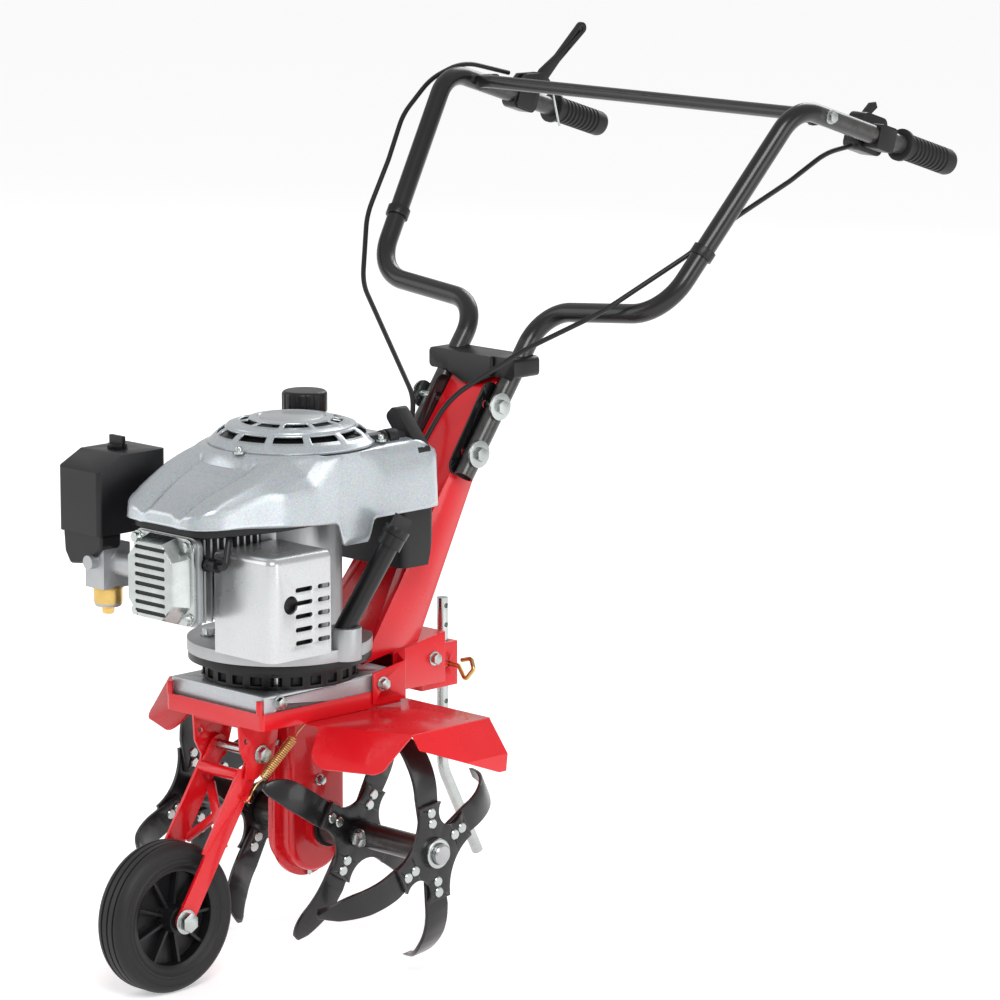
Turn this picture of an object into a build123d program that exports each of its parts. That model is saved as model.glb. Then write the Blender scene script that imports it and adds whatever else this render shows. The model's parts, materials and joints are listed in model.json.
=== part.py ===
from build123d import *
import math
import os

# Petrol tiller: a front transport wheel, four tine stars on one axle, a vertical
# shaft engine on a pressed frame, and a bent tube handlebar. Millimetres.
# +X is the machine's left side, -Y its front, +Z up. Heights are above the ground.

# ---- driving dimensions ----
AXLE_Y = -205.0            # tine axle, set so that the whole machine is centred on Y = 0
AXLE_Z = 136.5
AXLE_R = 10.0
TINE_R = 120.0             # tip radius of the tine stars
STAR_X = 178.0             # middle plane of an outer star plate
INNER_STAR_X = 68.0
PLATE = 4.0                # thickness of star plates and blades
STAR_ANGLES_OUTER = (27, 97, 207, 277)
STAR_ANGLES_INNER = (59, 149, 239, 329)
RIVET_RADII = (30.0, 41.0)
RIVET_R = 3.0
TUBE_R = 13.0              # rotor tube outside radius
CROSS_BOLT_X = 86.0

WHEEL_Y = AXLE_Y - 194.0
WHEEL_R = 75.0
WHEEL_Z = WHEEL_R
WHEEL_WIDTH = 38.0
WHEEL_BOLT_R = 6.0
FORK_PIVOT_Y = AXLE_Y - 97.0
FORK_PIVOT_Z = 227.0
FORK_ARM_X = 27.0          # inner face of a fork arm
FORK_SHEET = 3.5
PIVOT_R = 5.0

CRANK_Y = AXLE_Y - 34.0
DOME_Y = AXLE_Y - 22.0         # middle of the starter's dome
BASE_Y = AXLE_Y - 40.0     # centre of the engine's round base
TRAY_X = 71.0              # half width of the tray
TRAY_FRONT = AXLE_Y - 128.0
TRAY_REAR = AXLE_Y + 60.0
TRAY_Z = 260.5
TRAY_TOP = 277.0
PLATE_TOP = 294.0          # top of the engine plate
SHEET = 2.5
BASE_TOP = 318.0
FLANGE_LOW = 321.0         # lower face of the crankcase flange
FLANGE_TOP = 333.0
CASE_TOP = 460.0
CYLINDER_Z = 412.0
COVER_TOP = 527.0

BOX_X = 46.0
BOX_FRONT = AXLE_Y + 62.0
BOX_REAR = AXLE_Y + 144.0
BAR_Y = AXLE_Y + 184.0     # depth control bar
BAR_R = 6.0
BAR_TOP = 338.0
BAR_PITCH = 20.0           # distance from one pin hole to the next
PIN_Z = 270.0
PIN_R = 2.3
PIN_HOLE_R = 2.6

HANDLE_R = 10.0
HANDLE_WALL = 1.6
GRIP_R = 14.0
LOW_END = (45.8, AXLE_Y + 170.0, 471.0)
LOW_BEND = (45.8, AXLE_Y + 283.0, 627.0)
SIDE_BEND = (207.8, AXLE_Y + 290.0, 641.0)
TOP_BEND = (252.0, AXLE_Y + 437.0, 841.0)
GRIP_END = (252.0, AXLE_Y + 672.0, 764.8)
GRIP_LENGTH = 84.0
CROSSBAR_Y = AXLE_Y + 477.0
CROSSBAR_Z = 828.0
CABLE_R = 2.6
CABLE_X = 9.0              # where the cables enter the column

GAP = 0.3                  # air left between curved faces of different bodies
RUN = 0.05                 # running clearance on a radius

os.makedirs("parts", exist_ok=True)


def yz(*points):
    """Side-view points, given from the tine axle in Y and from the ground in Z."""
    return [(AXLE_Y + y, z) for y, z in points]


def save(part, label):
    part.label = label
    export_step(part, "parts/" + label + ".step")


def side(x):
    """Plane seen from the side at x: its first axis is +Y and its second is +Z."""
    return Plane.YZ.offset(x)


def on_x(x, y, z):
    """Place whose +Z axis points along +X."""
    return Location((x, y, z), (0, 90, 0))


def on_minus_x(x, y, z):
    return Location((x, y, z), (0, -90, 0))


def on_minus_y(x, y, z):
    return Location((x, y, z), (90, 0, 0))


def hex_bolt(shank_r, shank_length, across=10.0, head=4.5, washer=True):
    """Bolt with its washer; the seat is at Z = 0, the head above and the shank below."""
    with BuildPart() as bolt:
        seat = 1.2 if washer else 0.0
        if washer:
            Cylinder(across * 0.72, seat, align=(Align.CENTER, Align.CENTER, Align.MIN))
        with BuildSketch(Plane.XY.offset(seat)):
            RegularPolygon(across / 2 / math.cos(math.pi / 6), 6)
        extrude(amount=head)
        if shank_length:
            Cylinder(shank_r, shank_length, align=(Align.CENTER, Align.CENTER, Align.MAX))
    return bolt.part


def mirror_x(part):
    return mirror(part, about=Plane.YZ)


def both_sides_apart(part):
    """A piece and its mirror image as two solids that meet at X = 0."""
    return Compound(children=[part, mirror_x(part)])


def both_sides(part):
    with BuildPart() as pair:
        add(part)
        mirror(about=Plane.YZ)
    return pair.part


# ======================= tine rotor =======================
AXLE_END = STAR_X + 14.0
with BuildPart() as tine_axle:
    with BuildSketch(side(-AXLE_END)):
        with Locations((AXLE_Y, AXLE_Z)):
            Circle(AXLE_R)
    extrude(amount=2 * AXLE_END)
    chamfer(tine_axle.edges().group_by(Axis.X)[0] + tine_axle.edges().group_by(Axis.X)[-1], 1.5)
    with Locations(*[on_minus_y(s * CROSS_BOLT_X, AXLE_Y, AXLE_Z) for s in (-1, 1)]):
        Cylinder(4 + RUN, 40, mode=Mode.SUBTRACT)
save(tine_axle.part, "tine_axle")

WORM_WHEEL_R = 27.0
WORM_TEETH = 24
with BuildPart() as worm_wheel:
    with BuildSketch(side(-7)):
        with Locations((AXLE_Y, AXLE_Z)):
            Circle(WORM_WHEEL_R)
            Circle(AXLE_R + 0.02, mode=Mode.SUBTRACT)
            with PolarLocations(WORM_WHEEL_R, WORM_TEETH):
                Rectangle(5, 3, mode=Mode.SUBTRACT)
    extrude(amount=14)
save(worm_wheel.part, "worm_wheel")

with BuildPart() as rotor_tube:
    with BuildSketch(side(32)):
        with Locations((AXLE_Y, AXLE_Z)):
            Circle(TUBE_R + 5)
            Circle(AXLE_R + 0.02, mode=Mode.SUBTRACT)
    extrude(amount=INNER_STAR_X - PLATE / 2 - 32)
    with BuildSketch(side(INNER_STAR_X - PLATE / 2)):
        with Locations((AXLE_Y, AXLE_Z)):
            Circle(TUBE_R)
            Circle(AXLE_R + 0.02, mode=Mode.SUBTRACT)
    extrude(amount=STAR_X - INNER_STAR_X)
    with Locations(on_minus_y(CROSS_BOLT_X, AXLE_Y, AXLE_Z)):
        Cylinder(4 + RUN, 60, mode=Mode.SUBTRACT)
save(both_sides(rotor_tube.part), "rotor_tubes")


def rivet_spots(angles):
    spots = []
    for angle in angles:
        for radius in RIVET_RADII:
            a = math.radians(angle)
            spots.append((AXLE_Y + radius * math.cos(a), AXLE_Z + radius * math.sin(a)))
    return spots


def star_plate(x, angles, bore):
    """Four lobes joined by hollow sides."""
    lobe_r = 51.0
    waist_r = 30.0
    spread = math.radians(17)
    with BuildPart() as star:
        with BuildSketch(side(x - PLATE / 2)):
            with BuildLine():
                for i, angle in enumerate(angles):
                    following = angles[(i + 1) % 4] + (360 if i == 3 else 0)
                    a = math.radians(angle)
                    b = math.radians(following)
                    m = (a + b) / 2
                    left = (AXLE_Y + lobe_r * math.cos(a + spread), AXLE_Z + lobe_r * math.sin(a + spread))
                    right = (AXLE_Y + lobe_r * math.cos(a - spread), AXLE_Z + lobe_r * math.sin(a - spread))
                    far = (AXLE_Y + lobe_r * math.cos(b - spread), AXLE_Z + lobe_r * math.sin(b - spread))
                    waist = (AXLE_Y + waist_r * math.cos(m), AXLE_Z + waist_r * math.sin(m))
                    Line(right, left)
                    ThreePointArc(left, waist, far)
            make_face()
            with Locations((AXLE_Y, AXLE_Z)):
                Circle(bore, mode=Mode.SUBTRACT)
            with Locations(*rivet_spots(angles)):
                Circle(RIVET_R + RUN, mode=Mode.SUBTRACT)
        extrude(amount=PLATE)
    return star.part


with BuildPart() as star_plates:
    for sign in (-1, 1):
        add(star_plate(sign * STAR_X, STAR_ANGLES_OUTER, AXLE_R + 0.05))
        add(star_plate(sign * INNER_STAR_X, STAR_ANGLES_INNER, TUBE_R + 0.02))
save(star_plates.part, "star_plates")


def tine_blade(turn):
    """Blade along +Y at the origin, riveted at its root; its end curls towards -X."""
    root = 23.0
    straight = 58.0
    half_width = 14.0
    t = math.radians(turn)
    bend_r = (TINE_R - straight) / math.sin(t)

    def on_arc(radius, angle):
        return (radius * math.cos(angle) - bend_r, straight + radius * math.sin(angle))

    inner_r = bend_r - PLATE
    with BuildPart() as blade:
        with BuildSketch(Plane.XY):
            with BuildLine():
                Polyline(on_arc(inner_r, 0), (-PLATE, root), (0, root), on_arc(bend_r, 0))
                ThreePointArc(on_arc(bend_r, 0), on_arc(bend_r, t / 2), on_arc(bend_r, t))
                Line(on_arc(bend_r, t), on_arc(inner_r, t))
                ThreePointArc(on_arc(inner_r, t), on_arc(inner_r, t / 2), on_arc(inner_r, 0))
            make_face()
        extrude(amount=2 * half_width, both=True)
        with BuildSketch(Plane.YZ):
            with BuildLine():
                Polyline((root, -12), (straight, -half_width), (90, -16))
                ThreePointArc((90, -16), (109, -12), (TINE_R + 1, 3))
                Polyline((TINE_R + 1, 3), (112, 8), (90, 12), (straight, half_width), (root, 12), (root, -12))
            make_face()
        extrude(amount=200, both=True, mode=Mode.INTERSECT)
        with Locations(*[on_x(0, r, 0) for r in RIVET_RADII]):
            Cylinder(RIVET_R + RUN, 30, mode=Mode.SUBTRACT)
    return blade.part


def blade_place(x, angle):
    """Turn +Y onto the radial direction at angle in the side view."""
    return Location((x, AXLE_Y, AXLE_Z), (angle, 0, 0))


outer_blade = tine_blade(80)
inner_blade = tine_blade(38)
with BuildPart() as left_blades:
    with Locations(*[blade_place(STAR_X - PLATE / 2, a) for a in STAR_ANGLES_OUTER]):
        add(outer_blade)
    with Locations(*[blade_place(INNER_STAR_X - PLATE / 2, a) for a in STAR_ANGLES_INNER]):
        add(inner_blade)
save(both_sides(left_blades.part), "tine_blades")

with BuildPart() as rivet:
    Cylinder(RIVET_R, 2 * PLATE)
    for z in (PLATE, -PLATE):
        with Locations((0, 0, z)):
            Cylinder(5.2, 1.6, align=(Align.CENTER, Align.CENTER, Align.MIN if z > 0 else Align.MAX))
    chamfer(rivet.edges().group_by(Axis.Z)[0] + rivet.edges().group_by(Axis.Z)[-1], 1.0)
with BuildPart() as rivets_left:
    with Locations(*[on_x(STAR_X - PLATE / 2, y, z) for y, z in rivet_spots(STAR_ANGLES_OUTER)]):
        add(rivet.part)
    with Locations(*[on_x(INNER_STAR_X - PLATE / 2, y, z) for y, z in rivet_spots(STAR_ANGLES_INNER)]):
        add(rivet.part)
save(both_sides(rivets_left.part), "tine_rivets")

cross_bolt = hex_bolt(4, 2 * TUBE_R + 7, across=13, head=5)
with BuildPart() as cross_nut:
    with BuildSketch():
        RegularPolygon(7.5, 6)
        Circle(4.02, mode=Mode.SUBTRACT)
    extrude(amount=6)
bolt_places = [on_minus_y(s * CROSS_BOLT_X, AXLE_Y - TUBE_R, AXLE_Z) for s in (-1, 1)]
nut_places = [on_minus_y(s * CROSS_BOLT_X, AXLE_Y + TUBE_R + 6.2, AXLE_Z) for s in (-1, 1)]
with BuildPart() as hub_bolts:
    with Locations(*bolt_places):
        add(cross_bolt)
    with Locations(*nut_places):
        add(cross_nut.part)

with BuildPart() as collar:
    with BuildSketch(side(STAR_X + PLATE / 2)):
        with Locations((AXLE_Y, AXLE_Z)):
            Circle(15)
            Circle(AXLE_R + 0.02, mode=Mode.SUBTRACT)
    extrude(amount=6)
    fillet(collar.edges().group_by(Axis.X)[-1], 1.5)
save(Compound(children=[hub_bolts.part, collar.part, mirror_x(collar.part)]), "hub_fixings")

# ======================= gear case =======================
LEG_Y = AXLE_Y - 7.0
LEG_R = 44.0
LEG_FLANGE = 7.0
LEG_TOP = TRAY_Z
WORM_Y = CRANK_Y
WORM_R = 4.8


def leg_outline(radius, top):
    with Locations((LEG_Y, 126)):
        Circle(radius)
        Rectangle(2 * radius, top - 126, align=(Align.CENTER, Align.MIN))


with BuildPart() as gearcase:
    with BuildSketch(side(0)):
        leg_outline(LEG_R - LEG_FLANGE, LEG_TOP)
    extrude(amount=19)
    fillet(gearcase.edges().group_by(Axis.X)[-1].filter_by(lambda e: e.center().Z < LEG_TOP - 1), 6)
    with BuildSketch(side(0)):
        leg_outline(LEG_R, LEG_TOP)
    extrude(amount=SHEET)
    with BuildSketch(side(0)):
        leg_outline(LEG_R - LEG_FLANGE - SHEET, LEG_TOP - SHEET)
    extrude(amount=19 - SHEET, mode=Mode.SUBTRACT)
    with BuildSketch(side(19 - SHEET)):
        with Locations((AXLE_Y, AXLE_Z)):
            Circle(24)
    extrude(amount=SHEET + 8)
    with BuildSketch(side(0)):
        with Locations((AXLE_Y, AXLE_Z)):
            Circle(AXLE_R + 3)
    extrude(amount=40, mode=Mode.SUBTRACT)
    with Locations((0, WORM_Y, LEG_TOP)):
        Cylinder(9, 12, mode=Mode.SUBTRACT)
    rim = LEG_R - 3.4
    case_bolts = [(AXLE_Y - 6, 183), (LEG_Y - rim, 225), (LEG_Y + rim, 225), (LEG_Y + rim, 150), (LEG_Y, 126 - rim)]
    with Locations(on_x(0, *case_bolts[0])):
        Cylinder(2.6, 60, mode=Mode.SUBTRACT)
    with Locations(*[on_x(0, y, z) for y, z in case_bolts[1:]]):
        Cylinder(1.8, 60, mode=Mode.SUBTRACT)
save(both_sides_apart(gearcase.part), "gearcase_halves")

with BuildPart() as axle_bush:
    with BuildSketch(side(19)):
        with Locations((AXLE_Y, AXLE_Z)):
            Circle(AXLE_R + 2.98)
            Circle(AXLE_R + RUN, mode=Mode.SUBTRACT)
    extrude(amount=7.5)
    with BuildSketch(side(27)):
        with Locations((AXLE_Y, AXLE_Z)):
            Circle(21)
            Circle(AXLE_R + GAP, mode=Mode.SUBTRACT)
    extrude(amount=4)
save(both_sides(axle_bush.part), "axle_seals")

# shaft that stands in the column and drives the worm wheel
WORM_TOP = 276.0
with BuildPart() as worm_shaft:
    with Locations((0, WORM_Y, AXLE_Z - 18)):
        Cylinder(WORM_R, WORM_TOP - AXLE_Z + 18, align=(Align.CENTER, Align.CENTER, Align.MIN))
    with Locations(*[(0, WORM_Y, AXLE_Z + 6 * k) for k in range(-2, 3)]):
        Cylinder(WORM_R + 1.7, 3)
save(worm_shaft.part, "worm_shaft")

with BuildPart() as clutch_disc:
    with Locations((0, WORM_Y, 266)):
        Cylinder(26, 6, align=(Align.CENTER, Align.CENTER, Align.MIN))
        Cylinder(WORM_R + RUN, 20, mode=Mode.SUBTRACT)
    # friction ring on top
    with BuildSketch(Plane.XY.offset(272)):
        with Locations((0, WORM_Y)):
            Circle(26)
            Circle(16, mode=Mode.SUBTRACT)
    extrude(amount=2.7)
save(clutch_disc.part, "clutch_disc")

# ======================= frame =======================
# bracket that carries the transport wheel's fork
BRACKET_X = 32.0
with BuildPart() as wheel_bracket:
    for s in (-1, 1):
        with BuildSketch(side(s * (BRACKET_X + 1.5) - 1.5)):
            Polygon(*yz((-126, TRAY_Z), (-74, TRAY_Z), (-76, 240), (-84, 214), (-104, 203), (-118, 205),
                        (-116, 219), (-124, 234)), align=None)
            with Locations((FORK_PIVOT_Y, FORK_PIVOT_Z)):
                Circle(PIVOT_R + RUN, mode=Mode.SUBTRACT)
            with Locations((AXLE_Y - 117, 243)):
                Circle(3, mode=Mode.SUBTRACT)
        extrude(amount=3)
    with BuildSketch(Plane.XY.offset(TRAY_Z)):
        with Locations((0, AXLE_Y - 100)):
            Rectangle(2 * BRACKET_X + 2, 50)
    extrude(amount=-3)

with BuildPart() as frame_tray:
    with BuildSketch(Plane.XY.offset(TRAY_Z)):
        with Locations((0, (TRAY_FRONT + TRAY_REAR) / 2)):
            Rectangle(2 * TRAY_X, TRAY_REAR - TRAY_FRONT)
    extrude(amount=TRAY_TOP - TRAY_Z)
    fillet(frame_tray.edges().filter_by(Axis.Z), 4)
    with BuildSketch(Plane.XY.offset(TRAY_Z + SHEET)):
        with Locations((0, (TRAY_FRONT + TRAY_REAR) / 2 + SHEET)):
            Rectangle(2 * (TRAY_X - SHEET), TRAY_REAR - TRAY_FRONT)
    extrude(amount=TRAY_TOP - TRAY_Z, mode=Mode.SUBTRACT)
    with Locations((0, WORM_Y, TRAY_Z)):
        Cylinder(9, 20, mode=Mode.SUBTRACT)
    # rounded tabs that stand up at the two front corners
    with Locations(*[(s * (TRAY_X - 5), TRAY_FRONT + 1.2, TRAY_TOP) for s in (-1, 1)]):
        Cylinder(3.4, 13, align=(Align.CENTER, Align.CENTER, Align.MIN))
    add(wheel_bracket.part)
save(frame_tray.part, "frame_tray")

SKIRT_Z = 266.0
PLATE_X = TRAY_X - SHEET - 0.3
PLATE_FRONT = TRAY_FRONT + 5.2
PLATE_REAR = TRAY_REAR - 4.0
BASE_BOLTS = [(x, y) for x in (-49.5, 49.5) for y in (-49.5, 49.5)]
with BuildPart() as engine_plate:
    with BuildSketch(Plane.XY.offset(SKIRT_Z)):
        with Locations((0, (PLATE_FRONT + PLATE_REAR) / 2)):
            Rectangle(2 * PLATE_X, PLATE_REAR - PLATE_FRONT)
    extrude(amount=PLATE_TOP - SKIRT_Z)
    fillet(engine_plate.faces().sort_by(Axis.Z)[-1].edges(), 2)
    with BuildSketch(Plane.XY.offset(SKIRT_Z)):
        with Locations((0, (PLATE_FRONT + PLATE_REAR) / 2)):
            Rectangle(2 * (PLATE_X - SHEET), PLATE_REAR - PLATE_FRONT - 2 * SHEET)
    extrude(amount=PLATE_TOP - SKIRT_Z - SHEET, mode=Mode.SUBTRACT)
    with Locations((0, CRANK_Y, PLATE_TOP)):
        Cylinder(30, 12, mode=Mode.SUBTRACT)
    with Locations(*[(x, BASE_Y + y, PLATE_TOP) for x, y in BASE_BOLTS]):
        Cylinder(4.2, 12, mode=Mode.SUBTRACT)
    # relief at the front corners for the tray's tabs
    with Locations(*[(s * (TRAY_X - 5), TRAY_FRONT + 1.2, TRAY_TOP) for s in (-1, 1)]):
        Cylinder(3.6, 60, mode=Mode.SUBTRACT)
    with Locations(*[on_x(s * PLATE_X, AXLE_Y - 103, 285.5) for s in (-1, 1)]):
        Cylinder(3.1, 12, mode=Mode.SUBTRACT)
save(engine_plate.part, "engine_plate")

BOX_LOW = 264.0


def box_top(y):
    """Height of the rear box's sloping top, y from the tine axle."""
    return 298.0 + (y - 31.0) * 0.158


with BuildPart() as rear_box:
    # box behind the tray, open underneath at the front
    with BuildSketch(Plane.XY.offset(BOX_LOW)):
        with Locations((0, (BOX_FRONT + 10 + BOX_REAR) / 2)):
            Rectangle(2 * BOX_X, BOX_REAR - BOX_FRONT - 10)
    extrude(amount=70)
    # ears that flare out and hold the tray between them
    for s in (-1, 1):
        with BuildSketch(Plane.XY.offset(BOX_LOW)):
            ear_x = TRAY_X + 0.3
            Polygon((s * ear_x, AXLE_Y + 18), (s * (ear_x + SHEET), AXLE_Y + 18),
                    (s * (ear_x + SHEET), AXLE_Y + 62), (s * BOX_X, AXLE_Y + 88),
                    (s * (BOX_X - 2 * SHEET), AXLE_Y + 88), (s * (BOX_X - 2 * SHEET), AXLE_Y + 79),
                    (s * ear_x, AXLE_Y + 61), align=None)
        extrude(amount=70)
    # slope the top
    with BuildSketch(side(-120)):
        Polygon(*yz((0, box_top(0)), (160, box_top(160)), (160, 400), (0, 400)), align=None)
    extrude(amount=240, mode=Mode.SUBTRACT)
    # hollow
    with BuildSketch(side(-(BOX_X - SHEET))):
        Polygon(*yz((60, BOX_LOW + SHEET), (144 - SHEET, BOX_LOW + SHEET),
                    (144 - SHEET, box_top(144) - SHEET), (60, box_top(60) - SHEET)), align=None)
    extrude(amount=2 * (BOX_X - SHEET), mode=Mode.SUBTRACT)
    with Locations(*[on_x(s * TRAY_X, AXLE_Y + 30, 284) for s in (-1, 1)]):
        Cylinder(3.1, 12, mode=Mode.SUBTRACT)

# handle column: a tapered channel, folded from sheet and open at the back
COLUMN_FRONT = ((30, box_top(30) + 0.5), (234, 565))
COLUMN_REAR = ((107, box_top(107) + 0.5), (202, 473), (257, 565))


def column_body(inset):
    """The column's tapered solid, its front and sides moved in by inset."""
    low, top = COLUMN_FRONT
    shift = inset / math.sin(math.atan2(top[1] - low[1], top[0] - low[0]))
    back = 0 if inset == 0 else 40
    with BuildPart() as body:
        with BuildSketch(side(0)):
            Polygon(*yz((low[0] + shift, low[1]), (top[0] + shift, top[1]), (COLUMN_REAR[2][0] + back, 565),
                        (COLUMN_REAR[1][0] + back, 473), (COLUMN_REAR[0][0] + back, COLUMN_REAR[0][1])),
                    align=None)
        extrude(amount=100, both=True)
        with BuildSketch(Plane.XZ.offset(-AXLE_Y)):
            Polygon((-46 + inset, 290), (-33 + inset, 462), (-32 + inset, 570), (32 - inset, 570),
                    (33 - inset, 462), (46 - inset, 290), align=None)
        extrude(amount=-400, mode=Mode.INTERSECT)
    return body.part


with BuildPart() as column:
    add(column_body(0))
    add(column_body(SHEET), mode=Mode.SUBTRACT)
    # holes where the two control cables go inside
    with Locations(*[on_minus_y(s * CABLE_X, AXLE_Y + 146, 449) for s in (-1, 1)]):
        Cylinder(6, 14, mode=Mode.SUBTRACT)
save(column.part, "column")

# mudguards: a flat wing with a front apron and a sloping outer flap
GUARD_TOP = TRAY_Z - 0.5
GUARD_IN = 58.0
GUARD_OUT = 180.0
with BuildPart() as guard:
    with BuildSketch(Plane.XY.offset(GUARD_TOP - 2)):
        Polygon((GUARD_IN, AXLE_Y + 75), (GUARD_OUT, AXLE_Y + 75), (GUARD_OUT, AXLE_Y - 30),
                (GUARD_IN + 30, AXLE_Y - 68), (GUARD_IN, AXLE_Y - 68), align=None)
    extrude(amount=2)
    with BuildSketch(Plane.XZ.offset(-(AXLE_Y - 30))):
        Polygon((GUARD_OUT - 1, GUARD_TOP), (GUARD_OUT + 25, GUARD_TOP - 32), (GUARD_OUT + 23, GUARD_TOP - 50),
                (GUARD_OUT + 21, GUARD_TOP - 50), (GUARD_OUT + 22.5, GUARD_TOP - 32.5),
                (GUARD_OUT - 1, GUARD_TOP - 2), align=None)
    extrude(amount=-105)
    with BuildSketch(side(GUARD_OUT - 2)):
        Polygon(*yz((-31, GUARD_TOP - 14), (76, GUARD_TOP - 54), (-31, GUARD_TOP - 54)), align=None)
    extrude(amount=40, mode=Mode.SUBTRACT)
    apron = Plane(origin=(GUARD_IN + 30, AXLE_Y - 68, GUARD_TOP), x_dir=(92, 38, 0), z_dir=(38, -92, 90))
    with BuildSketch(apron):
        with BuildLine():
            Polyline((0, 0), (99.5, 0), (84, -34))
            ThreePointArc((84, -34), (78, -44), (66, -47))
            Line((66, -47), (24, -47))
            ThreePointArc((24, -47), (8, -42), (0, -26))
            Line((0, -26), (0, 0))
        make_face()
    extrude(amount=-2)
save(both_sides_apart(guard.part), "mudguards")

# ======================= transport wheel and its fork =======================
ARM_LENGTH = math.hypot(WHEEL_Y - FORK_PIVOT_Y, WHEEL_Z - FORK_PIVOT_Z)
ARM_DIR = ((FORK_PIVOT_Y - WHEEL_Y) / ARM_LENGTH, (FORK_PIVOT_Z - WHEEL_Z) / ARM_LENGTH)


def arm_plane(x):
    """Plane at x with its first axis from the wheel bolt to the fork's pivot."""
    return Plane(origin=(x, WHEEL_Y, WHEEL_Z), x_dir=(0, *ARM_DIR), z_dir=(1, 0, 0))


BRACE_FROM = 82.0
BRACE_TO = 142.0
with BuildPart() as fork_arm:
    with BuildSketch(arm_plane(FORK_ARM_X)):
        with Locations((ARM_LENGTH / 2, 0)):
            SlotCenterToCenter(ARM_LENGTH, 20)
        with Locations((112, 2)):
            Rectangle(92, 24)
        Circle(WHEEL_BOLT_R + RUN, mode=Mode.SUBTRACT)
        with Locations((ARM_LENGTH, 0)):
            Circle(PIVOT_R + RUN, mode=Mode.SUBTRACT)
    extrude(amount=FORK_SHEET)
with BuildPart() as wheel_fork:
    add(fork_arm.part)
    add(mirror_x(fork_arm.part))
    with BuildSketch(arm_plane(-FORK_ARM_X - 1)):
        with Locations((152, 9)):
            Circle(6)
    extrude(amount=2 * FORK_ARM_X + 2)
    # crossed braces pressed between the arms
    brace_plane = Plane(
        origin=(0, WHEEL_Y + 12 * ARM_DIR[1], WHEEL_Z - 12 * ARM_DIR[0]),
        x_dir=(0, *ARM_DIR),
        z_dir=(0, -ARM_DIR[1], ARM_DIR[0]),
    )
    lean = math.degrees(math.atan2(2 * FORK_ARM_X, BRACE_TO - BRACE_FROM))
    span = math.hypot(2 * FORK_ARM_X, BRACE_TO - BRACE_FROM)
    with BuildSketch(brace_plane):
        with Locations(((BRACE_FROM + BRACE_TO) / 2, 0)):
            for turn in (lean, -lean):
                Rectangle(span, 9, rotation=turn)
    extrude(amount=4)
    with BuildSketch(arm_plane(FORK_ARM_X + FORK_SHEET - 1)):
        with Locations((134, -4)):
            Circle(3)
    extrude(amount=9)
save(wheel_fork.part, "wheel_fork")

with BuildPart() as tyre:
    half = WHEEL_WIDTH / 2
    with BuildSketch(Plane.XZ):
        with BuildLine():
            Polyline((-half + 3, 53), (-half, 57), (-half, 67))
            ThreePointArc((-half, 67), (-half + 3.2, 72.8), (-half + 9, WHEEL_R))
            Line((-half + 9, WHEEL_R), (half - 9, WHEEL_R))
            ThreePointArc((half - 9, WHEEL_R), (half - 3.2, 72.8), (half, 67))
            Polyline((half, 67), (half, 57), (half - 3, 53), (-half + 3, 53))
        make_face()
        with Locations(*[(x, WHEEL_R) for x in (-8, 0, 8)]):
            Rectangle(1.6, 2.4, mode=Mode.SUBTRACT)
    revolve(axis=Axis.X)
wheel_place = Location((0, WHEEL_Y, WHEEL_Z))
with BuildPart() as wheel_tyre:
    with Locations(wheel_place):
        add(tyre.part)
save(wheel_tyre.part, "wheel_tyre")

HUB_BORE = WHEEL_BOLT_R + 0.08
with BuildPart() as hub:
    with BuildSketch(Plane.XZ):
        Polygon((-half + 3, 52.95), (half - 3, 52.95), (half - 5, 47), (-half + 5, 47), align=None)
        Polygon((-24, HUB_BORE), (-24, 14), (24, 14), (24, HUB_BORE), align=None)
        with Locations((0, 31)):
            Rectangle(3, 36)
    revolve(axis=Axis.X)
    for k in range(9):
        with BuildSketch(Plane(origin=(-11, 0, 0), x_dir=(0, math.cos(math.radians(40 * k)),
                         math.sin(math.radians(40 * k))), z_dir=(1, 0, 0))):
            with Locations((30.5, 0)):
                Rectangle(35, 3)
        extrude(amount=22)
with BuildPart() as wheel_hub:
    with Locations(wheel_place):
        add(hub.part)
save(wheel_hub.part, "wheel_hub")

BOLT_SEAT = FORK_ARM_X + FORK_SHEET
with BuildPart() as wheel_bolt:
    with Locations(on_x(BOLT_SEAT, WHEEL_Y, WHEEL_Z)):
        add(hex_bolt(WHEEL_BOLT_R, 2 * BOLT_SEAT + 12, across=17, head=7))
    with Locations(on_minus_x(-BOLT_SEAT, WHEEL_Y, WHEEL_Z)):
        add(hex_bolt(WHEEL_BOLT_R, 1, across=17, head=8))
save(wheel_bolt.part, "wheel_bolt")

PIVOT_SEAT = BRACKET_X + 3
with BuildPart() as fork_pivot:
    with Locations(on_x(PIVOT_SEAT, FORK_PIVOT_Y, FORK_PIVOT_Z)):
        add(hex_bolt(PIVOT_R, 2 * PIVOT_SEAT + 8, across=13, head=6))
    with Locations(on_minus_x(-PIVOT_SEAT, FORK_PIVOT_Y, FORK_PIVOT_Z)):
        add(hex_bolt(PIVOT_R, 1, across=13, head=6))
save(fork_pivot.part, "fork_pivot")

# latch spring, from a hook under the tray to the peg on the fork's left arm
PEG = (BOLT_SEAT + 5.5, WHEEL_Y + 134 * ARM_DIR[0] + 4 * ARM_DIR[1], WHEEL_Z + 134 * ARM_DIR[1] - 4 * ARM_DIR[0])
SPRING_TOP = (54.0, AXLE_Y - 52.0, 258.0)
spring_axis = Vector(*SPRING_TOP) - Vector(*PEG)
with BuildPart() as fork_spring:
    with BuildSketch(Plane(origin=Vector(*PEG) + spring_axis * 0.24, z_dir=spring_axis)):
        Circle(4.5)
        Circle(3, mode=Mode.SUBTRACT)
    extrude(amount=spring_axis.length * 0.56)
save(fork_spring.part, "fork_spring")

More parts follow.
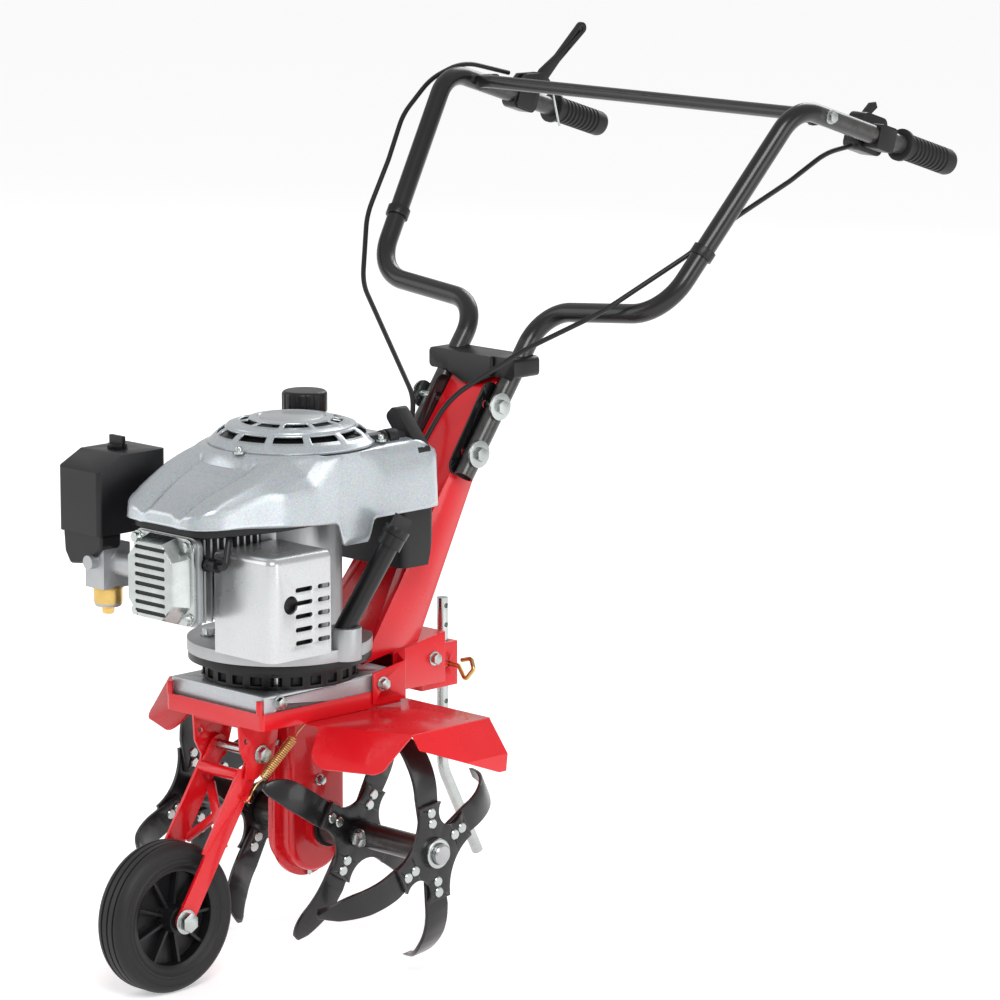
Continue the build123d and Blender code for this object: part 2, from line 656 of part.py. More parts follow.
# ======================= depth control bar =======================
BAR_BEND_Z = 160.0
BAR_TIP = (0, AXLE_Y + 234, 62)
with BuildPart() as drag_bar:
    with BuildLine():
        FilletPolyline((0, BAR_Y, BAR_TOP), (0, BAR_Y, BAR_BEND_Z), BAR_TIP, radius=45)
    with BuildSketch(Plane(origin=(0, BAR_Y, BAR_TOP), z_dir=(0, 0, -1))):
        Circle(BAR_R)
    sweep()
    with Locations(*[on_x(0, BAR_Y, PIN_Z + BAR_PITCH * k) for k in range(-3, 4)]):
        Cylinder(PIN_HOLE_R, 20, mode=Mode.SUBTRACT)
save(drag_bar.part, "drag_bar")

CLAMP_Z = (247.0, 293.0)
CLAMP_X = 11.0
with BuildPart() as drag_bar_clamp:
    with BuildSketch(Plane.XY.offset(CLAMP_Z[0])):
        with Locations((0, (BOX_REAR + BAR_Y + 11) / 2)):
            Rectangle(2 * CLAMP_X, BAR_Y + 11 - BOX_REAR)
    extrude(amount=CLAMP_Z[1] - CLAMP_Z[0])
    with BuildSketch(Plane.XY.offset(CLAMP_Z[0] + 3)):
        with Locations((0, (BOX_REAR + BAR_Y + 11) / 2)):
            Rectangle(2 * CLAMP_X - 6, BAR_Y + 11 - BOX_REAR - 6)
    extrude(amount=CLAMP_Z[1] - CLAMP_Z[0] - 6, mode=Mode.SUBTRACT)
    with Locations((0, BAR_Y, PIN_Z)):
        Cylinder(BAR_R + GAP, 80, mode=Mode.SUBTRACT)
    with Locations(on_x(0, BAR_Y, PIN_Z)):
        Cylinder(PIN_HOLE_R, 40, mode=Mode.SUBTRACT)
with BuildPart() as rear_box_whole:
    add(rear_box.part)
    add(drag_bar_clamp.part)
save(rear_box_whole.part, "rear_box")

LOOP_R = 9.0
with BuildPart() as drag_bar_pin:
    with BuildLine():
        pin_line = Line((-17, BAR_Y, PIN_Z), (24, BAR_Y, PIN_Z))
        FilletPolyline((24, BAR_Y, PIN_Z), (38, BAR_Y - 4, PIN_Z - 12), (46, BAR_Y, PIN_Z),
                       (38, BAR_Y + 4, PIN_Z + 9), (27, BAR_Y + 1, PIN_Z + 6), radius=3)
    with BuildSketch(Plane(origin=(-17, BAR_Y, PIN_Z), z_dir=(1, 0, 0))):
        Circle(PIN_R)
    sweep(transition=Transition.ROUND)
save(drag_bar_pin.part, "drag_bar_pin")

# ======================= engine =======================


def disc(z, height, radius, y=BASE_Y):
    """Round slab on the engine's centre line, from z upwards."""
    with BuildPart() as slab:
        with Locations((0, y, z)):
            Cylinder(radius, height, align=(Align.CENTER, Align.CENTER, Align.MIN))
    return slab.part


with BuildPart() as engine_base:
    add(disc(PLATE_TOP, 20, 77))
    add(disc(PLATE_TOP + 19, FLANGE_LOW - PLATE_TOP - 19, 91))
    with BuildSketch(Plane.XY.offset(PLATE_TOP)):
        with Locations((0, BASE_Y)):
            Circle(68)
    extrude(amount=16, mode=Mode.SUBTRACT)
    with Locations((0, CRANK_Y, BASE_TOP)):
        Cylinder(14.5, 60, mode=Mode.SUBTRACT)
    with Locations(*[(x, BASE_Y + y, PLATE_TOP) for x, y in BASE_BOLTS]):
        Cylinder(8, 16, align=(Align.CENTER, Align.CENTER, Align.MIN))
        Cylinder(4.2, 60, mode=Mode.SUBTRACT)
    with Locations((0, AXLE_Y + 59.5, BASE_TOP)):
        Box(104, 60, 60, mode=Mode.SUBTRACT)
    # recesses around the outside
    with Locations((0, BASE_Y, PLATE_TOP + 8)):
        with PolarLocations(76, 24):
            Cylinder(6, 9, rotation=(0, 0, 0), mode=Mode.SUBTRACT)
save(engine_base.part, "engine_base")

with BuildPart() as crankcase:
    add(disc(FLANGE_LOW, FLANGE_TOP - FLANGE_LOW, 92))
    with Locations((0, AXLE_Y + 58, FLANGE_LOW)):
        Box(104, 42, 30, mode=Mode.SUBTRACT)
    add(disc(FLANGE_TOP, 34, 58))
    add(disc(FLANGE_TOP, CASE_TOP - FLANGE_TOP, 58, CRANK_Y))
    with BuildSketch(Plane.XZ.offset(-(AXLE_Y - 98))):
        with Locations((0, CYLINDER_Z)):
            Rectangle(76, 84)
    extrude(amount=-40)
    # filler boss at the left rear
    with Locations((86, AXLE_Y - 31, FLANGE_LOW)):
        Cylinder(16, 32, align=(Align.CENTER, Align.CENTER, Align.MIN))
    # crank chamber, shaft bearings and the opening for the piston
    with Locations((0, CRANK_Y, CYLINDER_Z)):
        Cylinder(46, 62, mode=Mode.SUBTRACT)
    with Locations((0, CRANK_Y, CYLINDER_Z)):
        Cylinder(12 + RUN, 400, mode=Mode.SUBTRACT)
    with Locations(on_minus_y(0, AXLE_Y - 80, CYLINDER_Z)):
        Cylinder(28 + GAP, 60, mode=Mode.SUBTRACT)
    with Locations(*[(x, BASE_Y + y, FLANGE_LOW) for x, y in BASE_BOLTS]):
        Cylinder(4.2, 40, mode=Mode.SUBTRACT)
    with Locations((86, AXLE_Y - 31, FLANGE_LOW + 32)):
        Cylinder(9, 40, mode=Mode.SUBTRACT)
save(crankcase.part, "crankcase")

HEAD_Y = AXLE_Y - 186.0
CYLINDER_FOOT = AXLE_Y - 98.0
with BuildPart() as cylinder:
    with Locations(on_minus_y(0, (HEAD_Y + CYLINDER_FOOT) / 2, CYLINDER_Z)):
        Cylinder(33, CYLINDER_FOOT - HEAD_Y)
    for k in range(10):
        with BuildSketch(Plane.XZ.offset(-(HEAD_Y + 4 + 8.6 * k))):
            with Locations((0, CYLINDER_Z)):
                Rectangle(80, 82)
        extrude(amount=-2.4)
    with BuildSketch(Plane.XZ.offset(-HEAD_Y)):
        with Locations((0, CYLINDER_Z)):
            RectangleRounded(92, 88, 10)
    extrude(amount=-6)
    with Locations(on_minus_y(0, CYLINDER_FOOT, CYLINDER_Z)):
        Cylinder(28, 2 * (CYLINDER_FOOT - HEAD_Y - 14), mode=Mode.SUBTRACT)
    with Locations((46, HEAD_Y + 12, CYLINDER_Z + 18)):
        Cylinder(8, 22, rotation=(0, 90, 0), mode=Mode.SUBTRACT)
save(cylinder.part, "cylinder")

COVER_DEPTH = 22.0
with BuildPart() as rocker_cover:
    with BuildSketch(Plane.XZ.offset(-HEAD_Y)):
        with Locations((0, CYLINDER_Z)):
            RectangleRounded(88, 86, 12)
    extrude(amount=4)
    with BuildSketch(Plane.XZ.offset(-(HEAD_Y - 3))):
        Polygon((-20, 455), (20, 455), (38, 436), (38, 388), (20, 369), (-20, 369), (-38, 388), (-38, 436), align=None)
    with BuildSketch(Plane.XZ.offset(-(HEAD_Y - COVER_DEPTH))):
        Polygon((-17, 449), (17, 449), (32, 433), (32, 391), (17, 375), (-17, 375), (-32, 391), (-32, 433), align=None)
    loft()
    # eight cooling slots in the face
    with BuildSketch(Plane.XZ.offset(-(HEAD_Y - COVER_DEPTH))):
        with Locations(*[(0, CYLINDER_Z - 31.5 + 9 * k) for k in range(8)]):
            SlotOverall(44, 4)
    extrude(amount=-6, mode=Mode.SUBTRACT)
save(rocker_cover.part, "rocker_cover")

PISTON_Y = AXLE_Y - 128.0
with BuildPart() as piston:
    with Locations(on_minus_y(0, PISTON_Y, CYLINDER_Z)):
        Cylinder(27.9, 34)
        Cylinder(24, 28, align=(Align.CENTER, Align.CENTER, Align.MAX), mode=Mode.SUBTRACT)
save(piston.part, "piston")

CRANK_TOP = 512.0
with BuildPart() as crankshaft:
    with Locations((0, CRANK_Y, 282)):
        Cylinder(12, CYLINDER_Z - 12 - 282, align=(Align.CENTER, Align.CENTER, Align.MIN))
    with Locations((0, CRANK_Y, CYLINDER_Z + 12)):
        Cylinder(12, CRANK_TOP - CYLINDER_Z - 12, align=(Align.CENTER, Align.CENTER, Align.MIN))
    with Locations((0, CRANK_Y, CYLINDER_Z + 17), (0, CRANK_Y, CYLINDER_Z - 17)):
        Cylinder(38, 10)
    with Locations((0, CRANK_Y + 22, CYLINDER_Z)):
        Cylinder(9, 30)
    with Locations((0, CRANK_Y, 278)):
        Cylinder(26, 8, align=(Align.CENTER, Align.CENTER, Align.MIN))
save(crankshaft.part, "crankshaft")

with BuildPart() as flywheel:
    with Locations((0, CRANK_Y, 474)):
        Cylinder(66, 14, align=(Align.CENTER, Align.CENTER, Align.MIN))
        Cylinder(12.02, 60, mode=Mode.SUBTRACT)
    with Locations((0, CRANK_Y, 487)):
        with PolarLocations(48, 16):
            Box(30, 2.5, 14, align=(Align.CENTER, Align.CENTER, Align.MIN))
save(flywheel.part, "flywheel")

STARTER_Z = 528.0
with BuildPart() as starter_pulley:
    with Locations((0, CRANK_Y, STARTER_Z - 6)):
        Cylinder(56, 3, align=(Align.CENTER, Align.CENTER, Align.MIN))
        Cylinder(52, 9, align=(Align.CENTER, Align.CENTER, Align.MIN))
    with Locations((0, CRANK_Y, STARTER_Z + 3)):
        Cylinder(56, 3, align=(Align.CENTER, Align.CENTER, Align.MIN))
    with Locations((0, CRANK_Y, STARTER_Z)):
        Cylinder(6 + RUN, 60, mode=Mode.SUBTRACT)
save(starter_pulley.part, "starter_pulley")

with BuildPart() as dome:
    with BuildSketch(Plane.XZ):
        with BuildLine():
            Polyline((0, 552), (46, 551), (70, 541), (80, 529), (80, COVER_TOP), (76, COVER_TOP),
                     (67, 538.5), (44, 547), (0, 547), (0, 552))
        make_face()
    revolve(axis=Axis.Z)
    for ring_r, z, count in ((62, 542, 8), (74, 533, 8)):
        for k in range(count):
            with BuildSketch(Plane.XY.offset(COVER_TOP + 2)):
                with Locations(Location((0, 0, 0), (0, 0, 360 / count * k))):
                    with Locations((0, ring_r - 3)):
                        Rectangle(38 if ring_r > 70 else 30, 3)
            extrude(amount=40, mode=Mode.SUBTRACT)
with BuildPart() as starter_dome:
    with Locations((0, DOME_Y, 0)):
        add(dome.part)
    # post that the pulley turns on
    with Locations((0, CRANK_Y, 517)):
        Cylinder(6, 31, align=(Align.CENTER, Align.CENTER, Align.MIN))
    with Locations(Location((58, CRANK_Y, STARTER_Z), (-90, 0, 0))):
        Cylinder(3.5, 120, align=(Align.CENTER, Align.CENTER, Align.MIN), mode=Mode.SUBTRACT)
save(starter_dome.part, "starter_dome")

ROPE_X = 58.0
NECK = (-64, AXLE_Y + 54)      # the fuel tank's neck
GRIP_LEAN = (0.66, 0, -0.75)   # the starter grip's long direction

# engine cover: a hollow hood with a nose over the cylinder and a skirt on each side
COVER_PLAN = ((58, -196), (84, -112), (88, -40), (86, 100), (70, 112))
COVER_SIDE = yz(
    (-196, 466), (-196, 477), (-165, 493), (-104, 520), (-80, COVER_TOP), (84, COVER_TOP), (112, 516),
    (112, 456), (0, 456), (0, 434), (-34, 434), (-34, 458), (-150, 466),
)


def cover_solid(inset):
    """The hood's outer solid, or the space inside it when inset by the wall."""
    with BuildPart() as solid:
        with BuildSketch(Plane.XY.offset(420)):
            half_plan = [(x, AXLE_Y + y) for x, y in COVER_PLAN]
            Polygon(*half_plan, *[(-x, y) for x, y in reversed(half_plan)], align=None)
            offset(amount=-inset, kind=Kind.INTERSECTION)
        extrude(amount=120)
        with BuildSketch(Plane.XZ.offset(450)):
            top = COVER_TOP - inset
            wide = 88 - inset
            Polygon((-wide, 400), (-wide, 488), (-wide + 18, 514), (-60, top), (60, top), (wide - 18, 514),
                    (wide, 488), (wide, 400), align=None)
        extrude(amount=-900, mode=Mode.INTERSECT)
    return solid.part


with BuildPart() as engine_cover:
    add(cover_solid(0))
    with BuildSketch(side(-100)):
        Polygon(*COVER_SIDE, align=None)
    extrude(amount=200, mode=Mode.INTERSECT)
with BuildPart() as cover_inside:
    add(cover_solid(SHEET))
    with BuildSketch(side(-100)):
        Polygon(*COVER_SIDE, align=None)
        offset(amount=-SHEET, kind=Kind.INTERSECTION)
        # run the space out through the open underside
        Polygon(*yz((-193, 400), (-193, 470), (-150, 480), (109, 480), (109, 400)), align=None)
    extrude(amount=200, mode=Mode.INTERSECT)
with BuildPart() as engine_cover_shell:
    add(engine_cover.part)
    add(cover_inside.part, mode=Mode.SUBTRACT)
    with Locations((0, DOME_Y, COVER_TOP)):
        Cylinder(74, 30, mode=Mode.SUBTRACT)
    with Locations((*NECK, COVER_TOP)):
        Cylinder(18, 70, mode=Mode.SUBTRACT)
    # channel for the starter rope and a recess for its grip
    with Locations(Location((ROPE_X, AXLE_Y + 8, STARTER_Z), (-90, 0, 0))):
        Cylinder(10, 112, align=(Align.CENTER, Align.CENTER, Align.MIN), mode=Mode.SUBTRACT)
    with BuildSketch(Plane(origin=(ROPE_X, AXLE_Y + 70, STARTER_Z), x_dir=GRIP_LEAN, z_dir=(0, 1, 0))):
        RectangleRounded(62, 22, 8)
    extrude(amount=50, mode=Mode.SUBTRACT)
save(engine_cover_shell.part, "engine_cover")

# fuel tank under the rear of the cover, with its neck through the cover's top
with BuildPart() as fuel_tank:
    with BuildSketch(Plane.XY.offset(396)):
        with Locations((0, AXLE_Y + 80)):
            Rectangle(150, 44)
    extrude(amount=92)
    fillet(fuel_tank.edges().filter_by(Axis.Z), 8)
    with BuildSketch(side(-100)):
        Polygon(*yz((107, 450), (107, 390), (92, 390), (92, 396)), align=None)
    extrude(amount=200, mode=Mode.SUBTRACT)
    with BuildSketch(Plane.XY.offset(400)):
        with Locations((0, AXLE_Y + 76)):
            Rectangle(142, 28)
    extrude(amount=84, mode=Mode.SUBTRACT)
    with Locations((*NECK, 484)):
        Cylinder(17, 55, align=(Align.CENTER, Align.CENTER, Align.MIN))
    with Locations((*NECK, 510)):
        Cylinder(13, 60, mode=Mode.SUBTRACT)
save(fuel_tank.part, "fuel_tank")

with BuildPart() as fuel_cap:
    with Locations((*NECK, 539.3)):
        Cylinder(23, 21, align=(Align.CENTER, Align.CENTER, Align.MIN))
        Cylinder(12.5, 10, align=(Align.CENTER, Align.CENTER, Align.MAX))
    fillet(fuel_cap.edges().group_by(Axis.Z)[-1], 4)
    with Locations((*NECK, 548)):
        with PolarLocations(23.6, 18):
            Cylinder(1.6, 30, mode=Mode.SUBTRACT)
save(fuel_cap.part, "fuel_cap")

# starter rope and grip, pulled straight back along +Y
GRIP_Y = AXLE_Y + 50.0
with BuildPart() as starter_rope:
    with Locations(Location((ROPE_X, GRIP_Y + 4, STARTER_Z), (90, 0, 0))):
        Cylinder(1.8, 100, align=(Align.CENTER, Align.CENTER, Align.MIN))

with BuildPart() as starter_grip:
    with Locations(Location((ROPE_X, GRIP_Y, STARTER_Z), (-90, 0, 0))):
        Cylinder(8, 12, align=(Align.CENTER, Align.CENTER, Align.MIN))
        Cylinder(5.5, 26, align=(Align.CENTER, Align.CENTER, Align.MIN))
        Cylinder(1.85, 8, mode=Mode.SUBTRACT)
    with BuildSketch(Plane(origin=(ROPE_X, GRIP_Y + 24, STARTER_Z), x_dir=GRIP_LEAN, z_dir=(0, 1, 0))):
        RectangleRounded(58, 18, 6)
    extrude(amount=16)
save(Compound(children=[starter_grip.part, starter_rope.part]), "starter_grip")

# muffler inside a pressed guard on the cylinder's left
GUARD_BOX = (43.0, 125.0, AXLE_Y - 163.0, AXLE_Y - 80.0, 341.5, 443.0)
x0, x1, y0, y1, z0, z1 = GUARD_BOX
with BuildPart() as muffler_guard:
    with BuildSketch(Plane.XY.offset(z0)):
        with Locations(((x0 + x1) / 2, (y0 + y1) / 2)):
            Rectangle(x1 - x0, y1 - y0)
    extrude(amount=z1 - z0)
    fillet(muffler_guard.edges().filter_by(Axis.Z).sort_by(Axis.X)[-2:], 10)
    fillet(muffler_guard.faces().sort_by(Axis.Z)[-1].edges(), 7)
    with BuildSketch(Plane.XY.offset(z0)):
        with Locations(((x0 + x1) / 2, (y0 + y1) / 2 + SHEET + 8)):
            RectangleRounded(x1 - x0 - 2 * SHEET, y1 - y0 + 16, 7.5)
    extrude(amount=z1 - z0 - SHEET - 3, mode=Mode.SUBTRACT)
    # outlet hole and slots in the left face
    with Locations(on_x(x1, y0 + 25, 396)):
        Cylinder(9, 20, mode=Mode.SUBTRACT)
    with BuildSketch(Plane.YZ.offset(x1 - 10)):
        for k in range(5):
            with Locations((y0 + 42, z0 + 16 + 13 * k)):
                SlotOverall(22, 4.5)
            with Locations((y0 + 68, z0 + 16 + 13 * k)):
                SlotOverall(16, 4.5)
    extrude(amount=20, mode=Mode.SUBTRACT)
save(muffler_guard.part, "muffler_guard")

with BuildPart() as muffler:
    with BuildSketch(Plane.XY.offset(z0 + 6)):
        with Locations(((x0 + x1) / 2, (y0 + y1) / 2 + 2)):
            RectangleRounded(x1 - x0 - 14, y1 - y0 - 16, 8)
    extrude(amount=z1 - z0 - 24)
save(muffler.part, "muffler")

# spark plug with its boot and lead
PLUG_Y = HEAD_Y + 12.0
PLUG_Z = CYLINDER_Z + 18.0
with BuildPart() as spark_plug:
    with Locations(on_x(35.2, PLUG_Y, PLUG_Z)):
        Cylinder(6, 12, align=(Align.CENTER, Align.CENTER, Align.MIN))
    with BuildSketch(Plane(origin=(47, PLUG_Y, PLUG_Z), x_dir=(0, 1, 0), z_dir=(1, 0, 0))):
        RegularPolygon(7.5, 6)
    extrude(amount=5)
    with Locations(on_x(52, PLUG_Y, PLUG_Z)):
        Cylinder(6.5, 9, align=(Align.CENTER, Align.CENTER, Align.MIN))
with BuildPart() as plug_lead:
    with BuildLine():
        FilletPolyline((61.1, PLUG_Y, PLUG_Z), (72, PLUG_Y, PLUG_Z), (66, PLUG_Y + 10, 454),
                       (40, AXLE_Y - 140, 460.5), (44, AXLE_Y - 96, 461), (62, AXLE_Y - 76, 462), radius=4)
    with BuildSketch(Plane(origin=(61.1, PLUG_Y, PLUG_Z), z_dir=(1, 0, 0))):
        Circle(3.2)
    sweep()
save(Compound(children=[spark_plug.part, plug_lead.part]), "spark_plug")

# carburettor, float bowl and inlet pipe on the right of the cylinder
CARB = (-110.0, AXLE_Y - 168.0)
with BuildPart() as carburettor:
    with Locations((*CARB, 407)):
        Box(28, 34, 44)
    with Locations(on_x(-97, AXLE_Y - 165, 410)):
        Cylinder(12, 57, align=(Align.CENTER, Align.CENTER, Align.MIN))
    with Locations((*CARB, 429)):
        Cylinder(13, 11, align=(Align.CENTER, Align.CENTER, Align.MIN))
    with Locations(on_minus_y(CARB[0], CARB[1] - 17, 412)):
        Cylinder(7, 9, align=(Align.CENTER, Align.CENTER, Align.MIN))
with BuildPart() as float_bowl:
    with Locations((*CARB, 385)):
        Cylinder(14, 20, align=(Align.CENTER, Align.CENTER, Align.MAX))
    fillet(float_bowl.edges().group_by(Axis.Z)[0], 4)
    with Locations((*CARB, 365)):
        Cylinder(4.5, 7, align=(Align.CENTER, Align.CENTER, Align.MAX))
save(Compound(children=[carburettor.part, float_bowl.part]), "carburettor")

AIR_X = (-152.0, -90.0)
AIR_Y = (AXLE_Y - 195.0, AXLE_Y - 108.0)
with BuildPart() as air_filter_box:
    with BuildSketch(side(AIR_X[0])):
        Polygon((AIR_Y[0], 440), (AIR_Y[0], 503), (AIR_Y[0] + 30, 518), (AIR_Y[1], 518), (AIR_Y[1], 440),
                align=None)
    extrude(amount=AIR_X[1] - AIR_X[0])
    fillet(air_filter_box.edges().filter_by(Axis.Z), 5)
    with BuildSketch(side(AIR_X[0] + 3)):
        Polygon((AIR_Y[0] + 3, 443), (AIR_Y[0] + 3, 500), (AIR_Y[0] + 30, 514), (AIR_Y[1] - 3, 514),
                (AIR_Y[1] - 3, 443), align=None)
    extrude(amount=AIR_X[1] - AIR_X[0] - 6, mode=Mode.SUBTRACT)
    with Locations((*CARB, 440)):
        Cylinder(9, 20, mode=Mode.SUBTRACT)
    with Locations((-126, AXLE_Y - 140, 518)):
        Cylinder(3.3, 20, mode=Mode.SUBTRACT)
save(air_filter_box.part, "air_filter_box")
with BuildPart() as air_filter_knob:
    with Locations((-126, AXLE_Y - 140, 518.3)):
        Cylinder(10, 4, align=(Align.CENTER, Align.CENTER, Align.MIN))
        Cylinder(3, 12, align=(Align.CENTER, Align.CENTER, Align.MAX))
        Box(20, 4, 12, align=(Align.CENTER, Align.CENTER, Align.MIN))
save(air_filter_knob.part, "air_filter_knob")

# oil filler tube and dipstick, leaning back
OIL_FOOT = Vector(86, AXLE_Y - 31, FLANGE_LOW + 32)
OIL_TOP = Vector(106, AXLE_Y + 16, 440)
oil_axis = OIL_TOP - OIL_FOOT
with BuildPart() as oil_filler:
    with BuildSketch(Plane(origin=OIL_FOOT - oil_axis * 0.1, z_dir=oil_axis)):
        Circle(10)
        Circle(7, mode=Mode.SUBTRACT)
    extrude(amount=oil_axis.length * 1.1)
    with BuildSketch(Plane(origin=OIL_FOOT + oil_axis * 0.88, z_dir=oil_axis)):
        Circle(12.5)
        Circle(7, mode=Mode.SUBTRACT)
    extrude(amount=oil_axis.length * 0.12)
    split(bisect_by=Plane.XY.offset(FLANGE_LOW + 32), keep=Keep.TOP)
save(oil_filler.part, "oil_filler")
with BuildPart() as dipstick:
    with BuildSketch(Plane(origin=OIL_TOP + oil_axis * 0.005, z_dir=oil_axis)):
        Circle(13)
    extrude(amount=8)
    with BuildSketch(Plane(origin=OIL_TOP + oil_axis * 0.07, z_dir=oil_axis, x_dir=(0, 1, 0))):
        Rectangle(24, 4)
    extrude(amount=14)
    with BuildSketch(Plane(origin=OIL_TOP + oil_axis * 0.006, z_dir=-oil_axis)):
        Circle(4)
    extrude(amount=70)
save(dipstick.part, "dipstick")

# ======================= handlebar =======================


def tube_along(points, radii, outer, wall=0.0):
    with BuildPart() as tube:
        with BuildLine():
            FilletPolyline(*[tuple(p) for p in points], radius=radii)
        start = Vector(*points[0])
        with BuildSketch(Plane(origin=start, z_dir=Vector(*points[1]) - start)):
            Circle(outer)
            if wall:
                Circle(outer - wall, mode=Mode.SUBTRACT)
        sweep()
    return tube.part


def along(a, b, distance):
    """Point at a distance from a towards b."""
    step = Vector(*b) - Vector(*a)
    return Vector(*a) + step * (distance / step.length)


HOLE_NEAR = (AXLE_Y + 181, 494)
HOLE_FAR = (AXLE_Y + 211, 539)
PLATE_IN = 33.2
with BuildPart() as handlebar:
    add(tube_along([LOW_END, LOW_BEND, SIDE_BEND, TOP_BEND, GRIP_END], [42, 55, 40], HANDLE_R, HANDLE_WALL))
    with Locations(*[on_x(LOW_END[0], y, z) for y, z in (HOLE_NEAR, HOLE_FAR)]):
        Cylinder(4.1, 40, mode=Mode.SUBTRACT)
    with Locations(on_x(TOP_BEND[0], CROSSBAR_Y, CROSSBAR_Z)):
        Cylinder(3.1, 40, mode=Mode.SUBTRACT)
save(handlebar.part, "handlebar_left")
save(mirror_x(handlebar.part), "handlebar_right")

grip_start = along(GRIP_END, TOP_BEND, GRIP_LENGTH - 3)
grip_dir = Vector(*GRIP_END) - Vector(*TOP_BEND)
with BuildPart() as grip:
    with BuildSketch(Plane(origin=grip_start, z_dir=grip_dir)):
        Circle(GRIP_R)
        Circle(HANDLE_R + 0.02, mode=Mode.SUBTRACT)
    extrude(amount=GRIP_LENGTH - 3)
    with BuildSketch(Plane(origin=GRIP_END, z_dir=grip_dir)):
        Circle(GRIP_R)
    extrude(amount=3)
    with BuildSketch(Plane(origin=grip_start, z_dir=grip_dir)):
        Circle(GRIP_R + 3)
        Circle(HANDLE_R + 0.02, mode=Mode.SUBTRACT)
    extrude(amount=4)
save(both_sides(grip.part), "handle_grips")

CROSSBAR_R = 7.0
bar_half = TOP_BEND[0] - HANDLE_R
with BuildPart() as crossbar:
    with BuildSketch(side(-bar_half + 22)):
        with Locations((CROSSBAR_Y, CROSSBAR_Z)):
            Circle(CROSSBAR_R)
    extrude(amount=2 * (bar_half - 22))
    for s in (-1, 1):
        with BuildSketch(side(s * (bar_half - 22))):
            with Locations((CROSSBAR_Y, CROSSBAR_Z)):
                Circle(CROSSBAR_R)
        with BuildSketch(side(s * (bar_half - 4))):
            with Locations((CROSSBAR_Y, CROSSBAR_Z)):
                Rectangle(20, 14)
        loft()
        with BuildSketch(side(s * (bar_half - 4) if s > 0 else -bar_half)):
            with Locations((CROSSBAR_Y + 8, CROSSBAR_Z - 2)):
                RectangleRounded(34, 16, 5)
        extrude(amount=4)
    with Locations(*[on_x(s * bar_half, CROSSBAR_Y, CROSSBAR_Z) for s in (-1, 1)]):
        Cylinder(3.1, 30, mode=Mode.SUBTRACT)
save(crossbar.part, "crossbar")

# slotted plates between the column and each tube
fix_dir = Vector(0, HOLE_FAR[0] - HOLE_NEAR[0], HOLE_FAR[1] - HOLE_NEAR[1])
fix_span = fix_dir.length
with BuildPart() as side_plate:
    with BuildSketch(Plane(origin=(PLATE_IN, *HOLE_NEAR), x_dir=fix_dir, z_dir=(1, 0, 0))):
        with Locations((26, 0)):
            SlotOverall(104, 24)
        with Locations((0, 0), (fix_span, 0)):
            Circle(4.2, mode=Mode.SUBTRACT)
    extrude(amount=LOW_END[0] - HANDLE_R - PLATE_IN - 0.1)
save(both_sides(side_plate.part), "side_plates")

tube_side = LOW_END[0] + HANDLE_R
spots = [(y, z) for y, z in (HOLE_NEAR, HOLE_FAR)]
with BuildPart() as fixings_left:
    with Locations(*[on_x(tube_side, y, z) for y, z in spots]):
        add(hex_bolt(4, 19, across=13, head=6))
        Cylinder(14, 2.2, align=(Align.CENTER, Align.CENTER, Align.MIN))
    with Locations(on_x(TOP_BEND[0] + HANDLE_R, CROSSBAR_Y, CROSSBAR_Z)):
        add(hex_bolt(3, 23, across=10, head=4))
save(both_sides(fixings_left.part), "handle_bolts")

BAND_Y = 226.0

# moulded band over the top of the column and both tubes
with BuildPart() as handle_band:
    with BuildSketch(Plane.XZ.offset(-(AXLE_Y + BAND_Y))):
        Polygon((-62, 565.3), (62, 565.3), (62, 586), (-62, 586), align=None)
    extrude(amount=-36)
    with BuildSketch(Plane.XZ.offset(-(AXLE_Y + BAND_Y))):
        Polygon((-31, 586), (31, 586), (31, 565.3), (10, 556), (-10, 556), (-31, 565.3), align=None)
    extrude(amount=4)
    fillet(handle_band.edges().filter_by(Axis.Y).sort_by(Axis.X)[-2:], 5)
    fillet(handle_band.edges().filter_by(Axis.Y).sort_by(Axis.X)[:2], 5)
    low = Vector(*LOW_END)
    for s in (-1, 1):
        rise = Vector(*LOW_BEND) - low
        with BuildSketch(Plane(origin=(s * low.X, low.Y, low.Z), z_dir=(0, rise.Y, rise.Z))):
            Circle(HANDLE_R + 0.05)
        extrude(amount=300, mode=Mode.SUBTRACT)

# clutch lever on the right handle
PIVOT_S = 108.0            # from the handle's end to the lever bracket
handle_unit = Vector(0, grip_dir.Y, grip_dir.Z).normalized()
handle_up = Vector(0, -handle_unit.Z, handle_unit.Y)


def on_handle(x, back, up):
    """Point beside a handle's straight end: back from its end, up from its axis."""
    end = Vector(0, GRIP_END[1], GRIP_END[2])
    place = end - handle_unit * back + handle_up * up
    return Vector(x, place.Y, place.Z)


